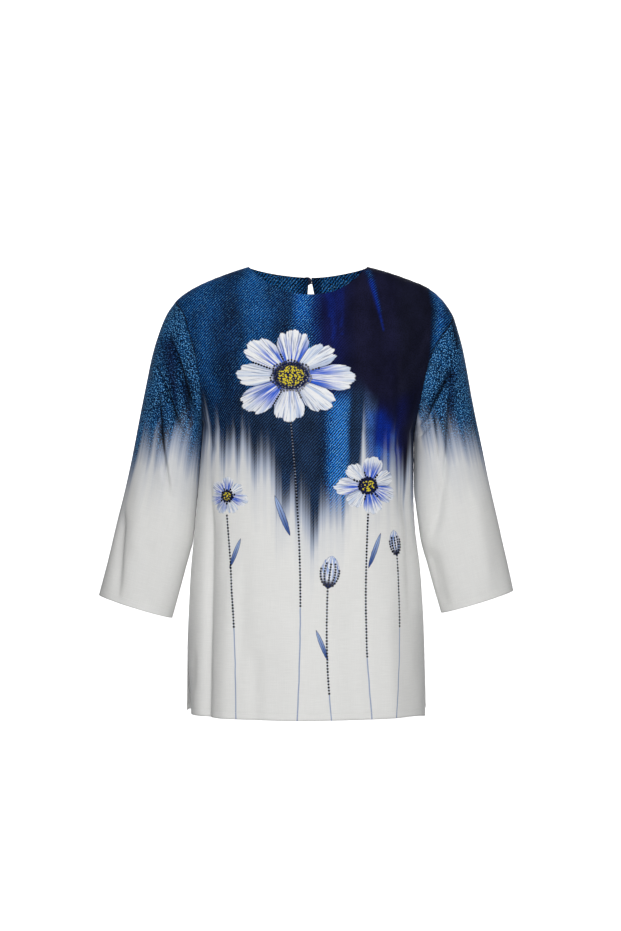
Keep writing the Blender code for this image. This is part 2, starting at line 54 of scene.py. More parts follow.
# The body's form, from the same named sizes as the solids; angles at the hem run to pi/2 at the side seam
body = {
    "originDrop": 25.0, "length": 700.0, "seamGap": 0.12, "ridgeGap": 0.06,
    "clothThick": 0.55, "hemThick": 1.1, "hemDepth": 11.0,
    "neckHalf": 94.0, "neckCentre": 4.0,
    "neckDrop": {"front": 48.5, "back": 12.0}, "neckPower": {"front": 2.4, "back": 1.7},
    "armholeDepth": 60.0, "slitTop": 590.0, "slitOpen": 5.0, "sectionPower": 2.3,
    "neckColumns": 26, "shoulderColumns": 44, "upperRows": 100, "lowerRows": 118,
    "shoulderEnd": (55.0, 78.0), "underarm": (249.0, 260.0),
    "seamFade": 26.0, "foldTaper": 0.25, "lowerHem": 5.0, "slitDraw": (9.0, 2.5),
    "hemAngle": 1.0, "slitAngle": 1.1, "overTheTop": 25.0, "roundFrom": 60.0, "roundOver": 190.0,
    "facingStart": 30.0, "facingOver": 60.0, "neckClear": 84.0, "neckOver": 12.0, "gatherFrom": 100.0,
    "shoulderSteps": 800, "columnSteps": 500, "levels": (-10.0, 710.0, 1441), "mostReach": 0.95,
    "shoulderLine": columnsOf("drop left right", [
        (0, 94, 94), (4.7, 109, 112), (14.2, 136, 142), (20.5, 152, 159), (30, 173, 183), (36.3, 184.5, 193.5),
        (45.7, 198.5, 205), (55, 209, 214), (67, 219, 222.5), (78, 225, 229)]),
    "armhole": columnsOf("share left right", [
        (0, 209, 229), (0.05, 201.5, 225.5), (0.12, 193, 217), (0.22, 187, 203), (0.38, 178, 189), (0.52, 172, 182),
        (0.7, 167, 175.5), (0.85, 165, 170.5), (1, 165.5, 167)]),
    "sideLine": columnsOf("drop left right", [
        (235, 165.5, 168), (249, 165.5, 167.5), (260, 166, 167), (300, 169, 166.5), (340, 172, 166),
        (380, 175, 166.6), (420, 179, 169.5), (475, 184, 176.5), (525, 187, 180), (620, 190.5, 184),
        (710, 192, 187)]),
    "profile": columnsOf("drop front back", [
        (-10, 16, 20), (0, 32, 38), (12, 45, 53), (25, 55, 63), (48, 67, 76), (80, 83, 90), (120, 98, 101),
        (170, 111, 107), (230, 118, 108.5), (300, 120.5, 108.5), (460, 124, 112), (600, 126.5, 116),
        (710, 128.5, 119)]),
}

# Folds as x0 drop0 x1 drop1 width depth lean: a trough (depth > 0) or ridge along a line, steeper on one side
folds = {
    "front": [
        (-146, 340, -158, 715, 11, 6.0, 0.0), (-118, 450, -128, 715, 14, -3.5, 0.0),
        (-82, 580, -80, 715, 12, 3.0, 0.0), (-30, 520, -26, 715, 20, -2.5, 0.0), (62, 470, 70, 715, 18, 2.5, 0.0),
        (140, 205, 152, 420, 11, 4.0, 0.0), (120, 500, 132, 715, 15, -3.0, 0.0), (214, 66, 198, 104, 9, 4.0, 0.0),
        (-178, 150, -120, 212, 12, 3.5, 0.0), (-150, 300, -156, 715, 5, 3.8, 0.35),
        (-176, 596, -179, 668, 5, 1.8, 0.3), (-96, 430, -104, 640, 9, 1.4, -0.3), (136, 120, 146, 330, 6, 2.0, 0.3),
        (151, 330, 158, 560, 8, 2.2, -0.3), (88, 560, 96, 715, 8, 1.2, 0.2), (28, 590, 34, 715, 9, 1.0, -0.2),
        (-168, 232, -142, 300, 7, 1.6, 0.3), (188, 92, 166, 150, 7, 1.8, 0.3), (-186, 84, -170, 132, 8, 1.5, -0.3),
        (160, 250, 132, 300, 8, 1.6, 0.2)],
    "back": [
        (-64, 190, -78, 715, 16, 5.0, 0.0), (-112, 330, -124, 715, 14, -4.0, 0.0),
        (-150, 300, -156, 715, 11, 5.0, 0.0), (-14, 260, -10, 715, 20, -4.0, 0.0), (48, 220, 62, 715, 15, 5.0, 0.0),
        (96, 380, 108, 715, 14, -3.5, 0.0), (142, 240, 150, 715, 11, 5.0, 0.0), (-172, 150, -120, 205, 12, 4.0, 0.0),
        (178, 155, 126, 212, 12, 4.0, 0.0), (-68, 240, -80, 560, 6, 2.2, 0.35), (54, 300, 64, 640, 7, 2.0, -0.3),
        (20, 430, 26, 715, 9, 1.6, 0.2), (-40, 520, -44, 715, 10, 1.8, -0.2), (128, 470, 136, 715, 8, 1.8, 0.3),
        (-132, 120, -96, 210, 9, 2.0, 0.3), (150, 118, 112, 196, 9, 1.8, -0.3), (-20, 70, -64, 120, 12, 1.4, 0.2),
        (34, 72, 80, 126, 12, 1.4, -0.2)],
    "sleeveFront": (
        [(-214, 118, -173, 236, 10, 7.0, 0.0), (-230, 176, -190, 262, 9, 5.0, 0.0),
         (-236, 232, -214, 360, 13, -4.0, 0.0), (-291, 372, -299, 535, 11, 4.5, 0.0),
         (-238, 420, -252, 550, 14, 3.0, 0.0), (-221, 100, -163, 250, 3.8, 10.0, 0.4),
         (-241, 150, -190, 266, 3.8, 9.0, 0.4), (-216, 206, -190, 262, 5, 2.0, -0.3),
         (-237, 176, -212, 372, 4.2, 7.0, 0.35), (-288, 360, -295, 530, 6, 2.0, 0.35),
         (-262, 300, -268, 470, 12, -2.0, 0.0), (-222, 380, -236, 520, 8, 1.8, -0.3),
         (-246, 96, -252, 190, 8, 1.8, 0.3)],
        [(206, 206, 176, 250, 9, 5.5, 0.0), (219, 222, 196, 430, 12, 5.5, 0.0),
         (192, 436, 214, 545, 10, 4.5, 0.0), (258, 330, 282, 530, 14, -3.5, 0.0),
         (232, 158, 168, 256, 3.8, 10.0, 0.4), (197, 242, 170, 270, 5, 4.0, 0.4),
         (222, 186, 209, 356, 4.5, 5.0, -0.35), (208, 330, 190, 440, 6, 3.0, -0.3),
         (194, 220, 200, 316, 4.4, 4.5, 0.3), (187, 440, 206, 535, 6, 2.2, 0.35), (248, 130, 236, 210, 8, 1.8, -0.3),
         (240, 360, 262, 540, 9, 1.6, 0.3)]),
    "sleeveBack": (
        [(-212, 130, -176, 240, 10, 6.0, 0.0), (-240, 240, -214, 400, 13, 5.0, 0.0),
         (-278, 380, -286, 540, 13, -4.0, 0.0), (-236, 430, -246, 550, 12, 4.5, 0.0),
         (-222, 160, -184, 256, 5, 2.6, 0.4), (-238, 260, -218, 400, 6, 2.4, -0.3),
         (-262, 390, -272, 540, 7, 2.0, 0.3)],
        [(214, 140, 178, 246, 10, 6.0, 0.0), (236, 240, 206, 410, 13, 5.0, 0.0),
         (272, 380, 284, 535, 13, -4.0, 0.0), (226, 420, 240, 545, 12, 4.5, 0.0), (224, 168, 184, 258, 5, 2.6, 0.4),
         (232, 262, 210, 410, 6, 2.4, -0.3), (252, 400, 264, 540, 7, 2.0, 0.3)]),
}


# A table read by its first column on a smooth curve: cubic pieces through the rows, slopes from the neighbours
def readTable(table, column, at):
    keys, values = next(iter(table.values())), table[column]
    slopes = np.gradient(values, keys)
    at = np.clip(np.asarray(at, float), keys[0], keys[-1])
    i = np.clip(np.searchsorted(keys, at) - 1, 0, len(keys) - 2)
    step = keys[i + 1] - keys[i]
    u = (at - keys[i]) / step
    start = values[i] * (1 + 2 * u) * (1 - u) ** 2 + values[i + 1] * u * u * (3 - 2 * u)
    return start + step * (slopes[i] * u * (1 - u) ** 2 - slopes[i + 1] * u * u * (1 - u))


def unit(vectors):
    return vectors / np.maximum(np.linalg.norm(vectors, axis=-1, keepdims=True), 1e-9)


# 0 below 0, 1 above 1 and 3t^2 - 2t^3 between
def easeStep(value):
    value = np.clip(value, 0.0, 1.0)
    return value * value * (3 - 2 * value)


# Smooth noise from 0 to 1: a seeded lattice blended with easeStep between its points
def softNoise(across, down, seed):
    size = 96
    lattice = np.random.default_rng(seed).random((size + 1, size + 1))
    i, j = np.floor(across).astype(int), np.floor(down).astype(int)
    a, b = easeStep(across - i), easeStep(down - j)
    i, j = i % size, j % size
    top = lattice[i, j] * (1 - a) + lattice[i + 1, j] * a
    return top * (1 - b) + (lattice[i, j + 1] * (1 - a) + lattice[i + 1, j + 1] * a) * b


# Noise about 0 for the cloth's crumple and for the wander of its print: reach, width, height, shift and seed
wavers = {
    "panelCrumple": (1.0, 34.0, 61.0, 40.0, 11), "armCrumple": (1.2, 1 / 6, 70.0, 20.0, 31),
    "change": (40.0, 26.0, 60.0, 30.0, 71), "upper": (8.0, 40.0, 70.0, 30.0, 72),
    "lower": (6.0, 40.0, 90.0, 30.0, 73), "turn": (0.05, 1 / 8, 60.0, 20.0, 81),
}


def waver(name, across, down, sheet=0):
    reach, wide, tall, shift, seed = wavers[name]
    return reach * (softNoise(across / wide + shift, down / tall, seed + sheet) - 0.5)


# Armhole seam at a share of its height: width from the table, depth as half an ellipse
def armholeWidth(side, share):
    return readTable(body["armhole"], sideKey[side], share)


def armholeDepth(share):
    return body["armholeDepth"] * 2 * np.sqrt(np.clip(share * (1 - share), 0.0, None))


def armholeShare(side, drop):
    top, low = body["shoulderEnd"][side], body["underarm"][side]
    return np.clip((drop - top) / (low - top), 0.0, 1.0)


# Half width of the level section, a squared ellipse that runs through the armhole seam
def sectionHalf(side, face, drop):
    shoulder = readTable(body["shoulderLine"], sideKey[side], drop)
    below = readTable(body["sideLine"], sideKey[side], drop)
    share = armholeShare(side, drop)
    reach = np.clip(armholeDepth(share) / readTable(body["profile"], face, drop), 0.0, body["mostReach"])
    through = armholeWidth(side, share) / (1 - reach ** body["sectionPower"]) ** (1 / body["sectionPower"])
    half = np.where(drop < body["shoulderEnd"][side], shoulder, through)
    return np.where(drop > body["underarm"][side], below, half)


# Depth of the cloth: profile * (1 - |x / half|^p)^(1/p)
def sectionDepth(side, face, x, drop):
    reach = np.clip(np.abs(x) / sectionHalf(side, face, drop), 0.0, 1.0)
    power = body["sectionPower"]
    return readTable(body["profile"], face, drop) * (1 - reach ** power) ** (1 / power)


# Drop of the top edge: a power curve at the neck, the shoulder table beyond the neck point
def topEdge(side, face, x):
    half, centre = body["neckHalf"], body["neckCentre"]
    drops = np.linspace(0.0, body["shoulderEnd"][side], body["shoulderSteps"])
    widths = readTable(body["shoulderLine"], sideKey[side], drops)
    reach = np.abs((x - centre) / (sideSign[side] * half - centre))
    neck = body["neckDrop"][face] * (1 - np.clip(reach, 0, 1) ** body["neckPower"][face])
    return np.where(np.abs(x) >= half, np.interp(np.abs(x), widths, drops), neck)


# Each line of points resampled an equal distance apart; lines lie along the second axis
def evenLines(points, count):
    steps = np.linalg.norm(np.diff(points, axis=0), axis=2)
    along = np.concatenate([np.zeros((1, steps.shape[1])), np.cumsum(steps, axis=0)])
    along /= along[-1]
    apart = 2.0 * np.arange(points.shape[1])
    wanted = np.linspace(0.0, 1.0, count + 1)[:, None] + apart
    known = (along + apart).T.ravel()
    return np.stack([np.interp(wanted, known, points[..., k].T.ravel()) for k in range(3)], axis=2)


# One half of a panel, columns j counted from its middle. Down to the underarm each column blends from its place on
# the top edge to sin(its angle) across the section, evenly spaced; below it goes straight down to the hem
def halfPanel(face, side, j):
    neck, outer = body["neckColumns"], body["shoulderColumns"]
    out = np.clip(np.abs(j) - neck, 0, None)
    end = float(armholeWidth(side, 0.0))
    xTop = body["neckHalf"] * np.sin(np.pi / 2 * np.clip(np.abs(j) / neck, 0, 1))
    xTop = np.where(out > 0, body["neckHalf"] + (end - body["neckHalf"]) * out / outer, xTop) * sideSign[side]
    angle = np.pi / 2 * j / (neck + outer)
    low, high = body["underarm"]
    under = (low + high) / 2 + (high - low) / 2 * np.sin(angle)
    top = topEdge(side, face, xTop)
    drop = top + (under - top) * ((1 - np.cos(np.linspace(0.0, math.pi, body["columnSteps"]))) / 2)[:, None]
    share = armholeShare(side, drop)
    blend = easeStep(share)
    x = ((1 - blend) * xTop / end + blend * np.sin(angle)) * armholeWidth(side, share)
    depth = np.where(out == outer, armholeDepth(share), sectionDepth(side, face, x, drop))
    upper = evenLines(np.stack([x, depth, drop], axis=2), body["upperRows"])

    hem = np.full(len(j), body["length"])
    if side == rightSide:
        lower = body["lowerHem"] if face == "front" else -body["lowerHem"]
        hem += lower * easeStep((np.abs(angle) - body["hemAngle"]) / (math.pi / 2 - body["hemAngle"]))
    drop = under + (hem - under) * np.linspace(0.0, 1.0, body["lowerRows"] + 1)[:, None]
    opening = easeStep((drop - body["slitTop"]) / (hem - body["slitTop"]))
    nearEdge = easeStep((np.abs(angle) - body["slitAngle"]) / (math.pi / 2 - body["slitAngle"]))
    x = readTable(body["sideLine"], sideKey[side], drop) * np.abs(np.sin(angle))
    depth = readTable(body["profile"], face, drop) * np.abs(np.cos(angle)) ** (2 / body["sectionPower"])
    if face == "front":
        x = x - body["slitDraw"][side] * opening * nearEdge
    depth = depth + body["slitOpen"] * opening * nearEdge
    lower = np.stack([sideSign[side] * x, depth, drop], axis=2)
    grid = np.concatenate([upper, lower[1:]])
    grid[0, np.abs(xTop) >= body["neckHalf"] - 1e-9, 1] = body["ridgeGap"] / 2
    return grid


# Both halves of a panel, the front one towards -Y, held off the middle plane by half the seam's gap
def panelGrid(face):
    reach = body["neckColumns"] + body["shoulderColumns"]
    grid = np.concatenate([
        halfPanel(face, leftSide, np.arange(-reach, 0)), halfPanel(face, rightSide, np.arange(0, reach + 1))], axis=1)
    grid[..., 1] = (-1.0 if face == "front" else 1.0) * np.maximum(grid[..., 1], body["seamGap"] / 2)
    return grid


# How far along a line each point lies, as a share of its length, and how far aside
def besideLine(x, y, x0, y0, x1, y1):
    length = math.hypot(x1 - x0, y1 - y0)
    along = ((x - x0) * (x1 - x0) + (y - y0) * (y1 - y0)) / length ** 2
    return along, ((x - x0) * (y1 - y0) - (y - y0) * (x1 - x0)) / length


# 1 along a line, easing to 0 over a share of it at either end
def taperedEnds(along, share):
    return easeStep(along / share) * easeStep((1 - along) / share)


# Sum of all folds: depth * ends * exp(-(distance aside / width)^2), narrower on the steep side
def foldOffset(x, drop, table):
    offset = np.zeros_like(x)
    for *line, width, depth, lean in table:
        along, aside = besideLine(x, drop, *line)
        ends = taperedEnds(along, body["foldTaper"])
        if line[-1] > body["length"]:
            ends = np.where(along > 0.5, 1.0, ends)
        offset += depth * ends * np.exp(-(aside / (width * (1 - lean * np.sign(aside)))) ** 2)
    return offset


# Folds that count as sharp creases are narrower and deeper than these; "full" is the depth whose painted crease shade
# is darkest
crease = {"narrow": 5.0, "deep": 4.0, "full": 7.0, "taper": 0.3, "reach": 9.0, "far": 30.0}


# Signed distance to the nearest sharp crease, and how strongly painted shade darkens the cloth there: full on its
# line, nothing past its ends or beyond its reach
def creaseLines(x, drop, table):
    side, hold = np.full(x.shape, crease["far"]), np.zeros(x.shape)
    for *line, width, depth, _ in table:
        if width < crease["narrow"] and depth > crease["deep"]:
            along, aside = besideLine(x, drop, *line)
            shows = min(depth / crease["full"], 1.0) * taperedEnds(along, crease["taper"])
            shows = shows * (1 - easeStep(np.abs(aside) / crease["reach"]))
            nearer = shows > hold
            side, hold = np.where(nearer, aside, side), np.where(nearer, shows, hold)
    return side, hold


# Unit normals across a grid of points; a sleeve's grid wraps round
def gridNormals(grid, wraps):
    padded = np.concatenate([grid[:, -1:], grid, grid[:, :1]], axis=1) if wraps else grid
    normal = unit(np.cross(np.gradient(padded, axis=1), np.gradient(padded, axis=0)))
    return normal[:, 1:-1] if wraps else normal


pucker = {
    "height": 0.35, "wave": 2.1, "wander": 5.0, "wanderLength": 23.0, "patch": 31.0, "near": 4.0, "reach": 18.0,
    "shift": 400.0, "sideSeed": 31, "topSeed": 41, "armSeed": 50,
}


# Little gathers along a seam: sin(distance along / wave) with wandering phase, in patches, from near it to its reach
def seamPucker(distance, along, seed):
    phase = pucker["wander"] * softNoise(along / pucker["wanderLength"], along * 0, seed)
    strength = pucker["height"] * softNoise(along / pucker["patch"], along * 0, seed + 1)
    ends = easeStep(distance / pucker["near"]) * (1 - easeStep(distance / pucker["reach"]))
    return np.sin(along / pucker["wave"] + phase) * strength * ends


# Millimetres and drop to metres and height
def toWorld(grid):
    world = np.array(grid, float)
    world[..., 2] = body["originDrop"] - world[..., 2]
    return world * 0.001


# Length run along the lines of a grid, in the axes kept
def runLengths(grid, axis, keep=(0, 1, 2)):
    steps = np.linalg.norm(np.diff(grid[..., list(keep)], axis=axis), axis=2)
    first = np.zeros_like(np.take(steps, [0], axis=axis))
    return np.concatenate([first, np.cumsum(steps, axis=axis)], axis=axis)


# Cloth measures: v is the drop carried over the length of the middle profile, equal to the drop at the underarm,
# and takes in the cloth's turn over the top edge, on the back only beside the neck and past its facing; u runs
# across and goes from plain x at the neck to length round the body at the underarm
def panelMeasures(grid, face):
    middle = grid.shape[1] // 2
    drops = np.linspace(*body["levels"])
    slope = np.gradient(readTable(body["profile"], face, drops), drops)
    slope *= 1.0 if face == "front" else easeStep((drops - body["facingStart"]) / body["facingOver"])
    level = np.concatenate([[0.0], np.cumsum(np.hypot(1.0, slope))[:-1] * (drops[1] - drops[0])])
    level += body["underarm"][0] - np.interp(body["underarm"][0], drops, level)
    v = np.interp(grid[..., 2], drops, level)
    down = runLengths(grid, 0, (1, 2))
    turn = int(np.argmax(down[:, middle] > body["overTheTop"]))
    beyondNeck = 1.0 if face == "front" else easeStep((np.abs(grid[..., 0]) - body["neckClear"]) / body["neckOver"])
    v[:turn] += (np.minimum(down - down[turn] - v + v[turn], 0.0) * beyondNeck)[:turn]
    around = runLengths(grid, 1, (0, 1))
    around = around - around[:, middle:middle + 1]
    blend = easeStep((grid[..., 2] - body["roundFrom"]) / body["roundOver"])
    return (1 - blend) * grid[..., 0] + blend * around, v


# A panel with its folds, crumple and gathers: each point moves inward along its normal by their sum, and the folds
# ease out at the seams
def foldedPanel(face):
    grid = panelGrid(face)
    u, v = panelMeasures(grid, face)
    toSide, toOther, toTop = (
        np.linalg.norm(grid - edge, axis=2) for edge in (grid[:, :1], grid[:, -1:], grid[:1]))
    toSide = np.minimum(toSide, toOther)
    fade = easeStep(toSide / body["seamFade"]) * easeStep(toTop / body["seamFade"])
    offset = foldOffset(grid[..., 0], grid[..., 2], folds[face])
    sheet = 0 if face == "front" else 1
    offset += waver("panelCrumple", u, v, sheet)
    offset *= fade
    offset += seamPucker(toSide, v, pucker["sideSeed"] + sheet)
    gathered = np.abs(grid[..., 0]) > body["gatherFrom"]
    offset += seamPucker(toTop, u + pucker["shift"], pucker["topSeed"] + sheet) * gathered
    normal = gridNormals(grid, False)
    normal *= np.sign(normal[..., 1:2] * grid[..., 1:2])
    folded = grid - normal * offset[..., None]
    return {"base": grid, "grid": folded, "normal": normal, "u": u, "v": v, "toSide": toSide, "toTop": toTop}


print("blouse: working out the cloth")
panels = {face: foldedPanel(face) for face in ("front", "back")}

# Keyhole at the middle of the back neck: a slot that starts narrow and widens to a belly
keyhole = {
    "centre": 2.8, "topHalf": 2.6, "length": 72.0, "bellyHalf": 9.0, "bellyShare": 0.78, "lean": 0.07,
    "shiftReach": 60.0, "openReach": 34.0, "tail": 60.0,
}


# Half width of the slot: widens on easeStep to the belly, then closes as a quarter ellipse
def keyholeHalf(drop):
    share = np.clip((drop - body["neckDrop"]["back"]) / keyhole["length"], 0.0, 1.0)
    belly = keyhole["bellyShare"]
    rising = keyhole["topHalf"] + (keyhole["bellyHalf"] - keyhole["topHalf"]) * easeStep(share / belly)
    closing = keyhole["bellyHalf"] * np.sqrt(np.clip(1 - ((share - belly) / (1 - belly)) ** 2, 0.0, None))
    return np.where(share < belly, rising, closing)


# Opens the back panel along its middle column: columns shift to the slot's middle line, then part by its half
# width, and die out sideways. Returns the left copy of the grid, the right copy of the middle column and its rows.
def openKeyhole(panel):
    grid, base, middle = panel["grid"], panel["base"], panel["grid"].shape[1] // 2
    x, drop = base[..., 0], base[..., 2]
    low = body["neckDrop"]["back"] + keyhole["length"]
    line = keyhole["centre"] + keyhole["lean"] * (np.minimum(drop, low) - body["neckDrop"]["back"])
    line = line * (1 - easeStep((drop - low) / keyhole["tail"]))
    shifted = x + line * (1 - easeStep(np.abs(x) / keyhole["shiftReach"]))
    half = np.where(drop < low, keyholeHalf(drop), 0.0)
    half = np.repeat(half[:, middle:middle + 1], grid.shape[1], axis=1)
    apart = np.abs(shifted - line)
    reach = keyhole["openReach"]
    parted = np.where(apart < reach, half + apart * (1 - half / reach), apart)

    def depthAt(x):
        left, right = (sectionDepth(side, "back", x, drop) for side in (leftSide, rightSide))
        return np.where(x < 0, left, right)

    def moved(sign):
        newX = line + sign * parted
        out = grid.copy()
        out[..., 0] += newX - x
        out[..., 1] += depthAt(newX) - depthAt(x)
        return out, newX - x

    sign = np.where(np.arange(grid.shape[1]) <= middle, -1.0, 1.0)[None, :]
    opened, shift = moved(sign)
    rightCopy, rightShift = moved(np.ones_like(sign))
    rows = int(np.argmax(base[:, middle, 2] >= low))
    return opened, shift, rightCopy[:rows, middle], rightShift[:rows, middle], rows


# Rings of the sleeves from the armhole to the cuff; u has its own stretch on each
sleeve = {
    "rows": 200, "bowShare": 0.45, "seamFade": 26.0, "hemDepth": 12.0, "restGap": 0.35, "turnLength": 400.0,
    "cuffV": 480.0, "startOfU": (900.0, 1700.0), "evenRate": 1.4, "closeFrom": 0.5, "closeOver": 2.5,
    "facingDepth": 30.0, "underarmTurn": 0.06,
    "rings": (
        columnsOf("number outer outerDrop inner innerDrop depth forward", [
            (0, 209, 55, 165.5, 249, 60, 0), (1, 223, 76, 167.7, 272, 60, 0.5), (2, 234.5, 103, 169.7, 296, 60, 1),
            (3, 246, 141, 171.6, 322, 59, 2), (4, 257, 195, 174.3, 357, 57, 3), (5, 270, 268, 177.9, 398, 54, 5),
            (6, 284, 336, 182.2, 436, 51, 7), (7, 300, 399, 192, 474, 49, 9), (8, 314, 459, 202, 512, 47, 11),
            (9, 328, 516, 213, 552, 45, 12)]),
        columnsOf("number outer outerDrop inner innerDrop depth forward", [
            (0, 229, 78, 167, 260, 60, 0), (1, 236, 100, 167.9, 282, 60, 0.5), (2, 243, 127, 167.6, 306, 60, 1),
            (3, 250, 162, 167.4, 332, 59, 2), (4, 258, 207, 168, 360, 57, 3), (5, 270, 268, 172.5, 397, 54, 5),
            (6, 283, 330, 178, 434, 51, 7), (7, 297, 392, 187.5, 468, 49, 9), (8, 310, 452, 198, 506, 47, 11),
            (9, 322, 509, 209, 544, 45, 12)])),
}


# Rings from the armhole to the cuff: each a slanted ellipse between its outer and inner point;
# the first rings also take up the bow of the armhole seam
def foldedSleeve(side):
    column, upper = (0 if side == leftSide else -1), body["upperRows"]
    front = panels["front"]["base"][:upper + 1, column].copy()
    front[[0, -1], 1] = 0.0
    seam = np.concatenate([front, panels["back"]["base"][:upper + 1, column][-2:0:-1]])
    count, rows = len(seam), sleeve["rows"]
    halfTurn = np.arccos(1 - 2 * armholeShare(side, seam[:, 2]))
    seamAngle = np.where(np.arange(count) <= upper, halfTurn, 2 * np.pi - halfTurn)
    evenAngle = np.linspace(0.0, 2 * np.pi, count, endpoint=False)
    down = np.arange(rows + 1)[:, None] / rows
    table = sleeve["rings"][side]
    read = {key: readTable(table, key, down * table["number"][-1]) for key in table}
    angle = seamAngle + (evenAngle - seamAngle) * easeStep(down * sleeve["evenRate"])
    inward = (1 - np.cos(angle)) / 2
    x = sideSign[side] * (read["outer"] + (read["inner"] - read["outer"]) * inward)
    drop = read["outerDrop"] + (read["innerDrop"] - read["outerDrop"]) * inward
    grid = np.stack([x, -read["depth"] * np.sin(angle) - read["forward"], drop], axis=2)
    grid += (seam - grid[0])[None] * (1 - easeStep(down / sleeve["bowShare"]))[..., None]
    # cloth that lies beside the body's side closes up to it
    beside = np.abs(grid[..., 0]) - readTable(body["sideLine"], sideKey[side], grid[..., 2])
    closing = (1 - easeStep((beside - sleeve["closeFrom"]) / sleeve["closeOver"])) * np.maximum(
        beside - sleeve["restGap"], 0.0)
    grid[..., 0] -= sideSign[side] * closing * (grid[..., 2] > body["underarm"][side])
    grid[0] += body["seamGap"] * unit(grid[1] - grid[0])

    toSeam = runLengths(grid, 0)
    turn = angle / (2 * np.pi)
    around = turn * sleeve["turnLength"]
    middle = grid.mean(axis=1, keepdims=True)
    facing = (grid[..., 1] - middle[..., 1]) / sleeve["facingDepth"]
    front, back = (foldOffset(grid[..., 0], grid[..., 2], folds[key][side]) for key in ("sleeveFront", "sleeveBack"))
    offset = np.where(facing < 0, front, back) * easeStep(np.abs(facing))
    plainUnderarm = 1 - np.exp(-((turn - 0.5) / sleeve["underarmTurn"]) ** 2)
    offset += waver("armCrumple", np.abs(turn * 2 - 1), toSeam, side) * plainUnderarm
    offset *= easeStep(np.linalg.norm(grid - grid[:1], axis=2) / sleeve["seamFade"])
    offset += seamPucker(toSeam, around + pucker["shift"], pucker["armSeed"] + side)
    normal = gridNormals(grid, True)
    normal *= np.sign(np.sum(normal * (grid - middle), axis=2, keepdims=True))
    # where painted shade darkens the sharp creases, on the sleeve's front only
    creaseSide, paintedCreaseShade = creaseLines(grid[..., 0], grid[..., 2], folds["sleeveFront"][side])
    return {
        "base": grid, "grid": grid - normal * offset[..., None], "normal": normal, "u": around, "turn": turn,
        "v": toSeam - toSeam[-1:] + sleeve["cuffV"], "toSeam": toSeam,
        "creaseSide": creaseSide, "paintedCreaseShade": paintedCreaseShade * easeStep(-facing)}


sleeves = [foldedSleeve(side) for side in (leftSide, rightSide)]
print("blouse: panels", panels["front"]["grid"].shape[:2], "sleeves", sleeves[0]["grid"].shape[:2])


# Where the print lies: bands of ink across the cloth, and the line below which it has faded out.
# Inks are red, green and blue as a screen shows them, then how strongly the twill's threads stand out
inks = {
    "lightDenim": (6, 40, 84, 1.4), "denim": (3, 29, 64, 1.1), "darkDenim": (10, 22, 50, 0.8),
    "slate": (28, 44, 70, 0.45), "brightTwill": (0, 25, 86, 1.95), "skyTwill": (4, 54, 132, 2.0),
    "paleTwill": (36, 84, 146, 2.1), "neckTwill": (0, 16, 40, 2.1),
    "indigoTwill": (12, 32, 96, 0.8), "indigo": (17, 20, 68, 0.2), "deepIndigo": (19, 21, 54, 0.06),
    "navy": (22, 22, 46, 0.0), "midnight": (21, 22, 40, 0.0), "tealNight": (20, 25, 45, 0.06),
    "cobalt": (12, 46, 152, 0.1), "royal": (44, 96, 186, 0.15), "haze": (72, 98, 144, 0.5),
    # Next, a navy ink that also stands for painted shade between the sleeve's creases
    "navyAndFoldShade": (12, 27, 64, 0.4), "armLight": (4, 56, 96, 1.9), "armDenim": (0, 40, 82, 1.7),
    "armDark": (0, 30, 66, 1.5),
}


# Tone as a screen shows it to linear light: ((c + 0.055) / 1.055)^2.4
def screenToLinear(tone):
    return ((np.array(tone, float) / 255 + 0.055) / 1.055) ** 2.4


def inkTone(name):
    return np.array([*screenToLinear(inks[name][:3]), inks[name][3]])


# Bands of ink blended evenly from one place across the cloth to the next
def readBands(bands, u):
    at, names = zip(*bands)
    return np.stack([np.interp(u, at, column) for column in np.transpose([inkTone(name) for name in names])], axis=-1)


# Lays brush marks over the ink, each exp(-(distance to its line / width)^2) and narrower towards its far end
def layMarks(ink, marks, u, v, hold=1.0):
    for *line, width, name, strength in marks:
        along, aside = besideLine(u, v, *line)
        share = np.clip(along, 0.0, 1.0)
        past = (along - share) * math.hypot(line[2] - line[0], line[3] - line[1])
        cover = hold * strength * np.exp(-(aside ** 2 + past ** 2) / (width * (1.25 - share)) ** 2)
        ink = ink + (inkTone(name) - ink) * cover[..., None]
    return ink


